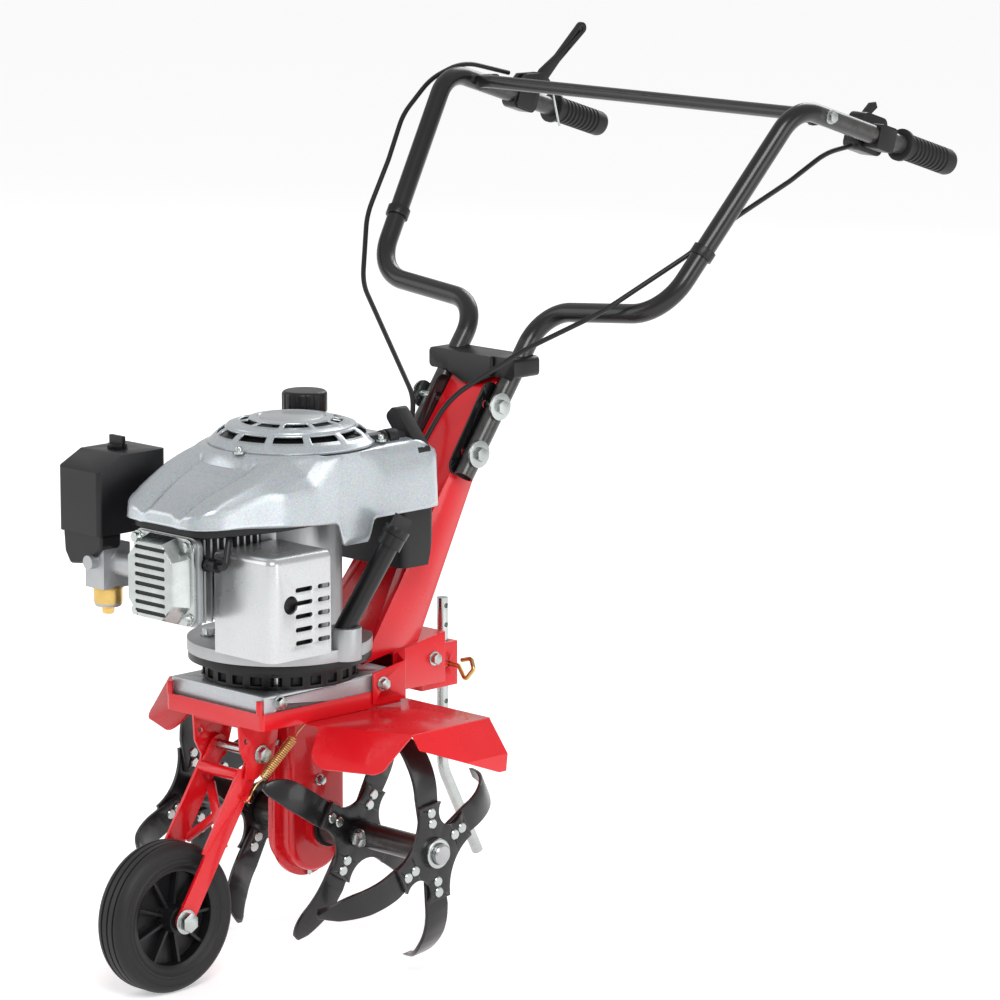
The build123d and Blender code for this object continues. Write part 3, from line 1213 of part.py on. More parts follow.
handle_plane_dirs = dict(x_dir=(0, handle_unit.Y, handle_unit.Z), z_dir=(1, 0, 0))
RIGHT_X = -GRIP_END[0]
with BuildPart() as lever_bracket:
    with BuildSketch(Plane(origin=on_handle(RIGHT_X - 9, PIVOT_S + 24, 0), **handle_plane_dirs)):
        with Locations((2, 0)):
            RectangleRounded(34, 30, 6)
        Polygon((-14, 8), (18, 8), (34, 24), (22, 32), (-4, 24), align=None)
    extrude(amount=18)
    with BuildSketch(Plane(origin=on_handle(RIGHT_X - 12.5, PIVOT_S + 24, 0), **handle_plane_dirs)):
        with Locations((2, 0)):
            RectangleRounded(30, 27, 6)
    extrude(amount=25)
    with BuildSketch(Plane(origin=on_handle(RIGHT_X - 3.5, PIVOT_S + 24, 0), **handle_plane_dirs)):
        Polygon((-30, 13.8), (60, 13.8), (60, 60), (-30, 60), align=None)
    extrude(amount=7, mode=Mode.SUBTRACT)
    with BuildSketch(Plane(origin=on_handle(RIGHT_X, PIVOT_S + 60, 0), z_dir=handle_unit)):
        Circle(HANDLE_R + 0.02)
    extrude(amount=80, mode=Mode.SUBTRACT)
    lever_pivot = on_handle(RIGHT_X, PIVOT_S, 24)
    with Locations(on_x(*lever_pivot)):
        Cylinder(2.5, 17.6)
save(lever_bracket.part, "lever_bracket")

LEVER_REST = 57.0          # lever angle above the handle when it is let go
with BuildPart() as clutch_lever:
    lever_dir = handle_unit * math.cos(math.radians(LEVER_REST)) + handle_up * math.sin(math.radians(LEVER_REST))
    with BuildSketch(Plane(origin=(RIGHT_X - 2.8, lever_pivot.Y, lever_pivot.Z),
                           x_dir=(0, lever_dir.Y, lever_dir.Z), z_dir=(1, 0, 0))):
        with BuildLine():
            Polyline((-7, -6), (10, -7), (34, -5), (84, -6.5))
            ThreePointArc((84, -6.5), (90, 0), (84, 6.5))
            Polyline((84, 6.5), (36, 4), (8, 8), (-7, 5), (-7, -6))
        make_face()
        with Locations((82, 0)):
            Circle(2.4, mode=Mode.SUBTRACT)
        Circle(2.5 + RUN, mode=Mode.SUBTRACT)
    extrude(amount=5.6)
save(clutch_lever.part, "clutch_lever")

# wire latch that can be swung over the lever to hold it down
latch_pivot = on_handle(RIGHT_X, PIVOT_S + 16, 15)
with BuildPart() as lever_latch:
    with BuildLine():
        out = RIGHT_X + 13
        FilletPolyline(
            (RIGHT_X + 9.5, latch_pivot.Y, latch_pivot.Z), (out + 6, latch_pivot.Y, latch_pivot.Z),
            on_handle(out + 6, PIVOT_S - 6, 12), on_handle(out + 7, PIVOT_S - 26, -20), radius=2.4,
        )
    with BuildSketch(Plane(origin=(RIGHT_X + 9.5, latch_pivot.Y, latch_pivot.Z), z_dir=(1, 0, 0))):
        Circle(1.2)
    sweep()
save(lever_latch.part, "lever_latch")

# throttle housing and lever on the left handle
LEFT_X = GRIP_END[0]
throttle_pivot = on_handle(LEFT_X - 31, 112, 8)
with BuildPart() as throttle_box:
    with BuildSketch(Plane(origin=on_handle(LEFT_X - 30, 112, 0), **handle_plane_dirs)):
        with Locations((-2, 2)):
            RectangleRounded(40, 40, 8)
    extrude(amount=19.95)
    with BuildSketch(Plane(origin=on_handle(LEFT_X - 11, 112, 0), **handle_plane_dirs)):
        with Locations((-2, -1)):
            RectangleRounded(26, 26, 4)
    extrude(amount=22)
    with BuildSketch(Plane(origin=on_handle(LEFT_X, 170, 0), z_dir=handle_unit)):
        Circle(HANDLE_R + 0.02)
    extrude(amount=120, mode=Mode.SUBTRACT)
save(throttle_box.part, "throttle_box")
with BuildPart() as throttle_lever:
    with BuildSketch(Plane(origin=throttle_pivot + Vector(-2.6, 0, 0), **handle_plane_dirs)):
        Circle(11)
        Polygon((-5, 8), (5, 8), (20, 26), (16, 31), (8, 28), align=None)
    extrude(amount=3)
save(throttle_lever.part, "throttle_lever")

# control cables, held along the handlebar
clutch_route = [
    on_handle(RIGHT_X - 12.5, PIVOT_S + 36, 22), (RIGHT_X - 14, AXLE_Y + 474, 847),
    (RIGHT_X - 14, AXLE_Y + 425, 832), (RIGHT_X - 11, AXLE_Y + 381, 797),
    (-250, AXLE_Y + 347, 752), (-240, AXLE_Y + 306, 698), (-196, AXLE_Y + 258, 634), (-36, AXLE_Y + 180, 540),
    (-CABLE_X - 2, AXLE_Y + 148, 503), (-CABLE_X, AXLE_Y + 134, 464), (-CABLE_X, AXLE_Y + 152, 442),
]
throttle_route = [
    on_handle(LEFT_X - 14, 138, -16), (LEFT_X - 16, AXLE_Y + 500, 788), (LEFT_X - 20, AXLE_Y + 450, 763),
    (LEFT_X - 30, AXLE_Y + 376, 730), (204, AXLE_Y + 334, 698), (150, AXLE_Y + 262, 640),
    (75, AXLE_Y + 226, 597), (24, AXLE_Y + 170, 548), (CABLE_X + 2, AXLE_Y + 148, 505),
    (CABLE_X, AXLE_Y + 134, 464), (CABLE_X, AXLE_Y + 152, 442),
]
CABLE_BENDS = 90.0


def cable(route, name):
    """Outer cable with each bend as large as its two runs allow, up to CABLE_BENDS."""
    points = [Vector(*p) for p in route]
    radii = []
    for before, corner, after in zip(points, points[1:], points[2:]):
        turn = math.radians((corner - before).get_angle(after - corner))
        run = min((corner - before).length, (after - corner).length)
        radii.append(min(CABLE_BENDS, 0.45 * run / math.tan(turn / 2)))
    save(tube_along(route, radii, CABLE_R), name)


cable(clutch_route, "clutch_cable")
cable(throttle_route, "throttle_cable")

# cable clips on the tubes
clip_at = along(SIDE_BEND, TOP_BEND, 74)
clip_axis = Vector(*TOP_BEND) - Vector(*SIDE_BEND)
with BuildPart() as clip:
    with BuildSketch(Plane(origin=clip_at - clip_axis.normalized() * 5, z_dir=clip_axis)):
        Circle(HANDLE_R + 2.2)
        Circle(HANDLE_R + 0.05, mode=Mode.SUBTRACT)
    extrude(amount=10)
save(Compound(children=[handle_band.part, clip.part, mirror_x(clip.part)]), "handle_clips")

# fasteners of the frame and the gear case

with BuildPart() as frame_bolts:
    for s in (-1, 1):
        turn = on_x if s > 0 else on_minus_x
        with Locations(turn(s * (TRAY_X + 0.3 + SHEET), AXLE_Y + 30, 284), turn(s * PLATE_X, AXLE_Y - 103, 285.5),
                       turn(s * BOX_X, AXLE_Y + 128, 290)):
            add(hex_bolt(3, 0, across=10, head=5))
with BuildPart() as gearcase_bolts:
    with Locations(on_x(19, *case_bolts[0])):
        add(hex_bolt(2.5, 40, across=8, head=5, washer=True))
    with Locations(*[on_x(SHEET, y, z) for y, z in case_bolts[1:]]):
        add(hex_bolt(1.6, 9, across=6, head=3, washer=False))
with BuildPart() as engine_bolts:
    with Locations(*[(x, BASE_Y + y, FLANGE_TOP) for x, y in BASE_BOLTS if y < 0]):
        add(hex_bolt(4, 40, across=12, head=6))
    with Locations(*[on_minus_y(x, HEAD_Y - 4, CYLINDER_Z + z) for x, z in ((-37, 36), (37, 36), (37, -36), (-37, -36))]):
        add(hex_bolt(3, 0, across=9, head=5))
save(Compound(children=[frame_bolts.part, gearcase_bolts.part, engine_bolts.part]), "frame_bolts")
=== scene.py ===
import bpy
import json
import math
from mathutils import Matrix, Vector


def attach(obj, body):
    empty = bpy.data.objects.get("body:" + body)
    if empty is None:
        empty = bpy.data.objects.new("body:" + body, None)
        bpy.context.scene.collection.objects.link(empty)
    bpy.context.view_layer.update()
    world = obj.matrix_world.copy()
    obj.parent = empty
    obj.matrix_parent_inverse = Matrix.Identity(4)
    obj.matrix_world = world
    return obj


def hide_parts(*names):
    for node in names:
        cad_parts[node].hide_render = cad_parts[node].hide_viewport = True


# A petrol tiller. Metres in the row frame: +X is the machine's left side, -Y its front, +Z up.
# Sizes below are given in millimetres from the tine axle in Y and from the ground in Z.

AXLE = -205.0
MM = 0.001

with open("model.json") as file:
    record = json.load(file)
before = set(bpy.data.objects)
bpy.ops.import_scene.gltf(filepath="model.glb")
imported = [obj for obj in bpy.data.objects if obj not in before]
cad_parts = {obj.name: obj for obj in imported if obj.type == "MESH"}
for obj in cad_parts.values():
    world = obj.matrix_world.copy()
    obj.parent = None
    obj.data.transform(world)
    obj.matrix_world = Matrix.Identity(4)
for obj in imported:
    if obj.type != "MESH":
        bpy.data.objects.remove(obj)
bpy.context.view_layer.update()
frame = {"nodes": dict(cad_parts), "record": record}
NODES = frame["nodes"]


def at(x, y, z):
    """A machine point in millimetres, as a point of the row frame in metres."""
    return Vector((x, y + AXLE, z)) * MM


# ======================= materials =======================


def new_material(name):
    mat = bpy.data.materials.new(name)
    mat.use_nodes = True
    tree = mat.node_tree
    return mat, tree, tree.nodes["Principled BSDF"]


def node(tree, kind, **inputs):
    made = tree.nodes.new(kind)
    for key, value in inputs.items():
        made.inputs[key.replace("_", " ")].default_value = value
    return made


def shade(name, base, rough, metallic=0.0, coat=0.0, tone=0.12, tone_scale=9.0, rough_swing=0.08,
          bump=0.0, bump_scale=600.0, dust=0.0, fleck=0.0, wear=0.0,
          wear_color=(0.45, 0.43, 0.4), specular=0.5):
    """A finish whose colour, roughness and relief all vary by procedural noise.

    tone: how far the colour wanders. bump: relief height in millimetres. dust: pale film on
    upward faces. fleck: metallic flakes. wear: bare patches on edges.
    """
    mat, tree, bsdf = new_material(name)
    link = tree.links.new
    place = node(tree, "ShaderNodeTexCoord")
    broad = node(tree, "ShaderNodeTexNoise", Scale=tone_scale, Detail=6.0, Roughness=0.6)
    link(place.outputs["Object"], broad.inputs["Vector"])
    fine = node(tree, "ShaderNodeTexNoise", Scale=bump_scale, Detail=4.0, Roughness=0.55)
    link(place.outputs["Object"], fine.inputs["Vector"])

    ramp = tree.nodes.new("ShaderNodeValToRGB")
    low = [max(c * (1 - tone), 0) for c in base] + [1]
    high = [min(c * (1 + tone), 1) for c in base] + [1]
    ramp.color_ramp.elements[0].color = low
    ramp.color_ramp.elements[1].color = high
    ramp.color_ramp.elements[0].position = 0.32
    ramp.color_ramp.elements[1].position = 0.68
    link(broad.outputs["Fac"], ramp.inputs["Fac"])
    color = ramp.outputs["Color"]

    if fleck:
        flakes = node(tree, "ShaderNodeTexVoronoi", Scale=1400.0)
        link(place.outputs["Object"], flakes.inputs["Vector"])
        lift = tree.nodes.new("ShaderNodeMix")
        lift.data_type = "RGBA"
        lift.blend_type = "OVERLAY"
        lift.inputs["Factor"].default_value = fleck
        link(color, lift.inputs["A"])
        link(flakes.outputs["Color"], lift.inputs["B"])
        grey = tree.nodes.new("ShaderNodeHueSaturation")
        grey.inputs["Saturation"].default_value = 0.85
        link(lift.outputs["Result"], grey.inputs["Color"])
        color = grey.outputs["Color"]
    if wear:
        edges = tree.nodes.new("ShaderNodeNewGeometry")
        pick = tree.nodes.new("ShaderNodeMapRange")
        pick.inputs["From Min"].default_value = 0.53
        pick.inputs["From Max"].default_value = 0.6
        link(edges.outputs["Pointiness"], pick.inputs["Value"])
        spots = node(tree, "ShaderNodeTexNoise", Scale=140.0, Detail=5.0)
        link(place.outputs["Object"], spots.inputs["Vector"])
        both = tree.nodes.new("ShaderNodeMath")
        both.operation = "MULTIPLY"
        link(pick.outputs["Result"], both.inputs[0])
        link(spots.outputs["Fac"], both.inputs[1])
        amount = tree.nodes.new("ShaderNodeMath")
        amount.operation = "MULTIPLY"
        amount.inputs[1].default_value = wear
        link(both.outputs["Value"], amount.inputs[0])
        worn = tree.nodes.new("ShaderNodeMix")
        worn.data_type = "RGBA"
        link(amount.outputs["Value"], worn.inputs["Factor"])
        link(color, worn.inputs["A"])
        worn.inputs["B"].default_value = (*wear_color, 1)
        color = worn.outputs["Result"]
    if dust:
        facing = tree.nodes.new("ShaderNodeNewGeometry")
        split = tree.nodes.new("ShaderNodeSeparateXYZ")
        link(facing.outputs["Normal"], split.inputs["Vector"])
        upward = tree.nodes.new("ShaderNodeMapRange")
        upward.inputs["From Min"].default_value = 0.2
        upward.inputs["To Max"].default_value = dust
        link(split.outputs["Z"], upward.inputs["Value"])
        patch = tree.nodes.new("ShaderNodeMath")
        patch.operation = "MULTIPLY"
        link(upward.outputs["Result"], patch.inputs[0])
        link(broad.outputs["Fac"], patch.inputs[1])
        film = tree.nodes.new("ShaderNodeMix")
        film.data_type = "RGBA"
        link(patch.outputs["Value"], film.inputs["Factor"])
        link(color, film.inputs["A"])
        film.inputs["B"].default_value = (0.42, 0.4, 0.37, 1)
        color = film.outputs["Result"]
    link(color, bsdf.inputs["Base Color"])

    swing = tree.nodes.new("ShaderNodeMapRange")
    swing.inputs["To Min"].default_value = max(rough - rough_swing, 0.02)
    swing.inputs["To Max"].default_value = min(rough + rough_swing, 1.0)
    link(broad.outputs["Fac"], swing.inputs["Value"])
    link(swing.outputs["Result"], bsdf.inputs["Roughness"])
    bsdf.inputs["Metallic"].default_value = metallic
    bsdf.inputs["Coat Weight"].default_value = coat
    bsdf.inputs["Coat Roughness"].default_value = 0.08
    bsdf.inputs["Specular IOR Level"].default_value = specular
    if bump:
        relief = tree.nodes.new("ShaderNodeBump")
        relief.inputs["Strength"].default_value = 1.0
        relief.inputs["Distance"].default_value = bump * MM
        link(fine.outputs["Fac"], relief.inputs["Height"])
        link(relief.outputs["Normal"], bsdf.inputs["Normal"])
    return mat


FINISH = {
    "red_paint": shade("red_paint", (0.6, 0.004, 0.01), 0.26, coat=0.3, tone=0.06, bump=0.03,
                       bump_scale=260,
                       dust=0.02, specular=0.35),
    "black_paint": shade("black_paint", (0.006, 0.006, 0.007), 0.3, coat=0.2, tone=0.2, bump=0.04,
                         bump_scale=420, dust=0.02, wear=0.15, specular=0.35),
    "case_black": shade("case_black", (0.006, 0.006, 0.007), 0.42, tone=0.2, bump=0.05,
                        bump_scale=500, dust=0.02,
                        specular=0.32),
    "grey_paint": shade("grey_paint", (0.43, 0.45, 0.47), 0.34, metallic=0.55, coat=0.2, tone=0.06,
                        bump=0.03,
                        bump_scale=300, dust=0.05, fleck=0.15),
    "silver_paint": shade("silver_paint", (0.52, 0.53, 0.54), 0.27, metallic=0.8, tone=0.05, bump=0.05,
                          bump_scale=180, fleck=0.12),
    "silver_plastic": shade("silver_plastic", (0.42, 0.46, 0.49), 0.3, metallic=0.55, coat=0.5, tone=0.04,
                            bump=0.02, bump_scale=700, fleck=0.25),
    "cast_alloy": shade("cast_alloy", (0.4, 0.41, 0.42), 0.46, metallic=0.85, tone=0.14, bump=0.12,
                        bump_scale=900, dust=0.05),
    "cover_plastic": shade("cover_plastic", (0.006, 0.006, 0.007), 0.36, tone=0.2,
                           bump=0.05, bump_scale=1500, specular=0.35),
    "tank_plastic": shade("tank_plastic", (0.008, 0.008, 0.009), 0.5, tone=0.2,
                          bump=0.06, bump_scale=1200, specular=0.35),
    "zinc": shade("zinc", (0.46, 0.49, 0.48), 0.26, metallic=1.0, tone=0.14, tone_scale=40, bump=0.02,
                  bump_scale=900, rough_swing=0.12),
    "steel": shade("steel", (0.42, 0.42, 0.43), 0.34, metallic=1.0, tone=0.12, tone_scale=30, bump=0.02,
                   bump_scale=1400),
    "rubber": shade("rubber", (0.008, 0.008, 0.008), 0.66, tone=0.2,
                    bump=0.05, bump_scale=900, specular=0.35),
    "tyre": shade("tyre", (0.01, 0.01, 0.011), 0.55, tone=0.25,
                  bump=0.08, bump_scale=700, dust=0.05, specular=0.35),
    "grip": shade("grip", (0.008, 0.008, 0.009), 0.52, tone=0.2, bump=0.06, bump_scale=1600, specular=0.35),
    "cable_sleeve": shade("cable_sleeve", (0.007, 0.007, 0.008), 0.35, tone=0.2,
                          bump=0.02, bump_scale=900, specular=0.35),
    "yellow_zinc": shade("yellow_zinc", (0.62, 0.44, 0.17), 0.3, metallic=1.0, tone=0.18,
                         tone_scale=60, bump=0.02,
                         bump_scale=900, rough_swing=0.12),
    "brass": shade("brass", (0.62, 0.42, 0.14), 0.3, metallic=1.0, tone=0.14, tone_scale=40, bump=0.02),
}


def dress(obj, slot_name):
    obj.data.materials.clear()
    obj.data.materials.append(FINISH[slot_name])


# ======================= mesh helpers =======================


def add_object(name, data, slot_name, body):
    obj = bpy.data.objects.new(name, data)
    bpy.context.scene.collection.objects.link(obj)
    data.materials.append(FINISH[slot_name])
    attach(obj, body)
    return obj


def mesh_piece(name, verts, faces, slot_name, body, sharp=35.0):
    mesh = bpy.data.meshes.new(name)
    mesh.from_pydata([tuple(v) for v in verts], [], faces)
    mesh.validate()
    mesh.update()
    mesh.shade_smooth()
    mesh.set_sharp_from_angle(angle=math.radians(sharp))
    return add_object(name, mesh, slot_name, body)


def basis(axis):
    """Two directions square to axis and to each other."""
    w = Vector(axis).normalized()
    u = w.cross(Vector((0, 0, 1)) if abs(w.z) < 0.9 else Vector((0, 1, 0))).normalized()
    return u, w.cross(u).normalized(), w


def turned(name, origin, axis, profile, slot_name, body, segments=64, sharp=35.0):
    """Solid of revolution; profile is (radius, distance along axis) in millimetres, ends at the axis."""
    u, v, w = basis(axis)
    verts = []
    faces = []
    rings = []
    for radius, along_axis in profile:
        centre = Vector(origin) + w * along_axis * MM
        if radius < 0.01:
            rings.append([len(verts)] * segments)
            verts.append(centre)
            continue
        rings.append(list(range(len(verts), len(verts) + segments)))
        for k in range(segments):
            a = 2 * math.pi * k / segments
            verts.append(centre + (u * math.cos(a) + v * math.sin(a)) * radius * MM)
    for ring, following in zip(rings, rings[1:]):
        for k in range(segments):
            n = (k + 1) % segments
            corners = [ring[k], ring[n], following[n], following[k]]
            unique = list(dict.fromkeys(corners))
            if len(unique) > 2:
                faces.append(unique)
    return mesh_piece(name, verts, faces, slot_name, body, sharp)


def wire(name, points, radius, slot_name, body, smooth=True, cyclic=False, resolution=10):
    """Round wire or tube through points of the row frame."""
    curve = bpy.data.curves.new(name, "CURVE")
    curve.dimensions = "3D"
    curve.bevel_depth = radius * MM
    curve.bevel_resolution = 6
    curve.use_fill_caps = True
    curve.resolution_u = resolution
    if smooth:
        spline = curve.splines.new("BEZIER")
        spline.bezier_points.add(len(points) - 1)
        for p, co in zip(spline.bezier_points, points):
            p.co = co
            p.handle_left_type = "AUTO"
            p.handle_right_type = "AUTO"
    else:
        spline = curve.splines.new("POLY")
        spline.points.add(len(points) - 1)
        for p, co in zip(spline.points, points):
            p.co = (*co, 1)
        spline.use_smooth = True
    spline.use_cyclic_u = cyclic
    return add_object(name, curve, slot_name, body)


# ======================= finish of the CAD nodes =======================
SLOT_OF = {s["node"]: s["material_slot"] for s in frame["record"]["subparts"]}
BEVELS = {
    "rocker_cover": 1.2, "muffler_guard": 1.0, "air_filter_box": 2.2, "starter_grip": 2.5, "throttle_box": 1.5,
    "lever_bracket": 1.2, "clutch_lever": 1.2, "carburettor": 1.0, "crankcase": 1.0, "fuel_tank": 2.0,
    "handle_clips": 1.2, "frame_tray": 0.7, "column": 0.7, "rear_box": 0.7, "gearcase_halves": 0.6,
    "engine_base": 0.6, "cylinder": 0.4, "wheel_fork": 0.5, "star_plates": 0.5, "tine_blades": 0.6,
    "side_plates": 0.5, "mudguards": 0.5, "engine_plate": 0.6, "frame_bolts": 0.4, "handle_bolts": 0.4,
    "wheel_bolt": 0.5, "fork_pivot": 0.5, "hub_fixings": 0.5, "throttle_lever": 0.5, "fuel_cap": 0.6,
    "dipstick": 0.8, "air_filter_knob": 0.6, "wheel_hub": 0.5, "crossbar": 0.5,
}
for name, obj in NODES.items():
    dress(obj, "case_black" if name == "muffler" else SLOT_OF[name])
    obj.data.shade_smooth()
    weld = obj.modifiers.new("weld", "WELD")
    weld.merge_threshold = 0.00001
    if name in BEVELS:
        bevel = obj.modifiers.new("bevel", "BEVEL")
        bevel.width = BEVELS[name] * MM
        bevel.segments = 3
        bevel.limit_method = "ANGLE"
        bevel.angle_limit = math.radians(32)
        bevel.harden_normals = True
        bevel.use_clamp_overlap = True
    else:
        edges = obj.modifiers.new("edges", "EDGE_SPLIT")
        edges.split_angle = math.radians(32)

# ======================= engine hood =======================
HOUSING_Y = -22.0        # middle of the starter housing
PLINTH_TOP = 526.0
BLEND = 2.6              # radius of the blend between ridge and shoulder
# the hood's half outline in plan, its top line from front to back, and its lower edge
PLAN = ((0, -196), (50, -196), (62, -184), (84, -112), (88, -40), (86, 94), (72, 111), (0, 112))
RIDGE = ((-196, 477), (-165, 494), (-104, 519), (-80, 526.5), (76, 526.5),
         (90, 521), (102, 508), (112, 496))
LOWER = ((-196, 466), (-150, 465), (-40, 457), (-33, 434), (0, 434), (8, 456), (112, 456))
# heights of the hood's cross-section against the distance from its middle, at the nose and at the back
FRONT_SHOULDER = ((0, 560), (52, 534), (62, 524), (72, 508), (80, 494), (86, 482), (90, 476))
REAR_SHOULDER = ((0, 560), (66, 534), (75, 525), (80, 517), (84, 503), (88, 478), (90, 470))


def level(table, value):
    """Linear reading of a (position, height) table."""
    for (a, ha), (b, hb) in zip(table, table[1:]):
        if value <= b:
            return ha + (hb - ha) * max(0.0, (value - a) / (b - a))
    return table[-1][1]


def ease(low, high, value):
    t = min(max((value - low) / (high - low), 0.0), 1.0)
    return t * t * (3 - 2 * t)


def outline_reach(angle):
    """Distance from the starter housing's axis to the hood's outline in plan, at an angle from the front."""
    dx, dy = abs(math.sin(angle)), -math.cos(angle)
    best = 1e9
    for (ax, ay), (bx, by) in zip(PLAN, PLAN[1:]):
        ay -= HOUSING_Y
        by -= HOUSING_Y
        ex, ey = bx - ax, by - ay
        cross = dx * ey - dy * ex
        if abs(cross) < 1e-9:
            continue
        t = (ax * ey - ay * ex) / cross
        s = (ax * dy - ay * dx) / cross
        if t > 0 and -1e-6 <= s <= 1 + 1e-6:
            best = min(best, t)
    return best


def hood_height(x, y):
    """Height of the hood's outer skin above the ground."""
    crown = level(RIDGE, y)
    narrow = 1 - 0.32 * ease(-110, -196, y)
    wide = abs(x) / narrow
    front = level(FRONT_SHOULDER, wide)
    rear = level(REAR_SHOULDER, wide)
    blend = ease(-20, -150, y)
    shoulder = front * blend + rear * (1 - blend)
    # a smooth minimum of the ridge line and the shoulder
    skin = -BLEND * math.log(math.exp(-(crown - 500) / BLEND) + math.exp(-(shoulder - 500) / BLEND)) + 500
    # grooves beside the raised middle band of the nose
    across = abs(x) - 36 + 10 * ease(-120, -196, y)
    skin -= 6.0 * math.exp(-(across / 4.5) ** 2) * ease(-96, -112, y)
    # steps in arcs below the starter housing
    reach = math.hypot(x, y - HOUSING_Y)
    if y < HOUSING_Y - 60 and abs(x) < 34:
        skin += 0.9 * math.sin((reach - 84) / 7.0 * 2 * math.pi) * ease(84, 90, reach) * ease(126, 112, reach)
    # plinth under the starter housing
    lift = ease(97, 86, reach)
    skin = skin * (1 - lift) + max(skin, PLINTH_TOP) * lift
    # shallow panel line on each flank
    skin -= 1.6 * ease(63, 65, abs(x)) * ease(-60, -50, y) * ease(80, 66, y)
    return skin


AROUND = 192             # columns of vertices round the hood
STEPS = 40               # rows from the hood's edge to the housing's hole
WALL_ROWS = 10           # rows up its side wall
HOOD_HOLE = 79.0
reaches = [outline_reach(2 * math.pi * k / AROUND) for k in range(AROUND)]
soft = []
for k in range(AROUND):
    window = [reaches[(k + d) % AROUND] for d in (-2, -1, 0, 1, 2)]
    soft.append(min(sum(window) / 5, reaches[k]))
hood_verts = []
hood_faces = []
for row in range(WALL_ROWS + STEPS + 1):
    for k in range(AROUND):
        a = 2 * math.pi * k / AROUND
        dx, dy = math.sin(a), -math.cos(a)
        edge = Vector((dx, dy)) * (soft[k] - 0.4)
        rim = Vector((dx, dy)) * HOOD_HOLE
        if row <= WALL_ROWS:
            t = row / WALL_ROWS
            x, y = edge.x, edge.y + HOUSING_Y
            top = hood_height(x, y) - 1.5
            bottom = min(level(LOWER, y), top - 6)
            z = bottom + (top - bottom) * t
            flare = 0.4 if row == 0 else 0.0
            draft = 1.2 * t
            x -= dx * (draft - flare)
            y -= dy * (draft - flare)
        else:
            t = (row - WALL_ROWS) / STEPS
            spread = t ** 1.25
            p = edge * (1 - spread) + rim * spread
            pull = 1.2 + 2.0 * min(t * 6, 1)
            p = p - Vector((dx, dy)) * pull * (1 - t)
            x, y = p.x, p.y + HOUSING_Y
            z = hood_height(x, y)
        hood_verts.append(at(x, y, z))
for row in range(WALL_ROWS + STEPS):
    for k in range(AROUND):
        n = (k + 1) % AROUND
        a, b = row * AROUND, (row + 1) * AROUND
        hood_faces.append((a + k, a + n, b + n, b + k))
hood = mesh_piece("hood_shell", hood_verts, hood_faces, "silver_plastic", "chassis", sharp=50)
thick = hood.modifiers.new("wall", "SOLIDIFY")
thick.thickness = 0.0024
thick.offset = -1
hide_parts("engine_cover")

# painted shade: a dark sheet inside the hood's lower edge that fills the gap below the hood's arched edge with
# black, standing in for the shadow there
gap_shade_verts = []
gap_shade_faces = []
GAP_SHADE = ((20.0, 500.0), (9.0, 488.0), (8.0, 470.0), (8.0, 457.5), (11.0, 456.5), (30.0, 456.5))
for inset, z in GAP_SHADE:
    for k in range(AROUND):
        a = 2 * math.pi * k / AROUND
        reach = soft[k] - inset
        x, y = reach * math.sin(a), HOUSING_Y - reach * math.cos(a)
        gap_shade_verts.append(at(x, y, min(z, hood_height(x, y) - 8)))
for row in range(len(GAP_SHADE) - 1):
    for k in range(AROUND):
        n = (k + 1) % AROUND
        a, b = row * AROUND, (row + 1) * AROUND
        gap_shade_faces.append((a + k, b + k, b + n, a + n))
# the black sheet is painted shadow for the gap under the hood
mesh_piece("hood_gap_shade", gap_shade_verts, gap_shade_faces, "case_black", "chassis", sharp=50)

# screws that hold the starter housing, and a guide where the rope comes out
for angle in (12, 132, 252):
    a = math.radians(angle)
    spot = at(88 * math.sin(a), HOUSING_Y - 88 * math.cos(a), 0)
    turned("housing_screw_%d" % angle, spot, (0, 0, 1),
           ((0, 533.5), (3.0, 533.2), (3.6, 532), (3.6, 529), (6, 528.6), (6, 526.5), (0, 526.5)), "zinc",
           "chassis", 24)
turned("rope_guide", at(58, -10, 528), (0, 1, 0),
       ((2.4, 0), (8, 0), (9, 2), (9, 18), (6.5, 34), (6.2, 52), (7.6, 54), (7.6, 57), (5, 58), (2.4, 58)),
       "cover_plastic", "chassis", 40)

# ======================= starter dome =======================
TURNS = 240
DOME_PROFILE = ((83, 525.5), (83, 528), (79, 531.5), (74.5, 536), (70, 539.5), (66, 541.5), (64.6, 542.2),
                (63.6, 544.2), (58, 546), (51, 547.6), (44, 548.9), (42.6, 549.2), (41.6, 550.6), (36, 551.3),
                (34.5, 551.5), (33.5, 550.2), (20, 550.6), (0.5, 550.8))
SLOT_ROWS = {3: 12, 4: 12, 9: 10, 10: 10}    # profile row: slots cut round it
dome_verts = []
dome_faces = []
for radius, z in DOME_PROFILE:
    for k in range(TURNS):
        a = 2 * math.pi * k / TURNS
        dome_verts.append(at(radius * math.sin(a), HOUSING_Y - radius * math.cos(a), z))
for row in range(len(DOME_PROFILE) - 1):
    for k in range(TURNS):
        if row in SLOT_ROWS:
            cell = TURNS // SLOT_ROWS[row]
            if 2 <= k % cell < cell - 2:
                continue
        n = (k + 1) % TURNS
        dome_faces.append((row * TURNS + k, row * TURNS + n, (row + 1) * TURNS + n, (row + 1) * TURNS + k))
dome = mesh_piece("dome_shell", dome_verts, dome_faces, "silver_plastic", "chassis", sharp=40)
dome_wall = dome.modifiers.new("wall", "SOLIDIFY")
dome_wall.thickness = 0.0022
dome_wall.offset = -1
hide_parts("starter_dome")
turned("dome_screen", at(0, HOUSING_Y, 0), (0, 0, 1),
       ((0, 541), (60, 539), (76, 528.5), (76, 527), (0, 527)),
       "cover_plastic", "chassis", 96)
turned("dome_badge", at(0, HOUSING_Y, 0), (0, 0, 1),
       ((0, 551.6), (31, 551.4), (32, 550.9), (32, 550), (0, 550)),
       "grey_paint", "chassis", 96)

# ======================= rocker cover slots, float bowl, intake =======================


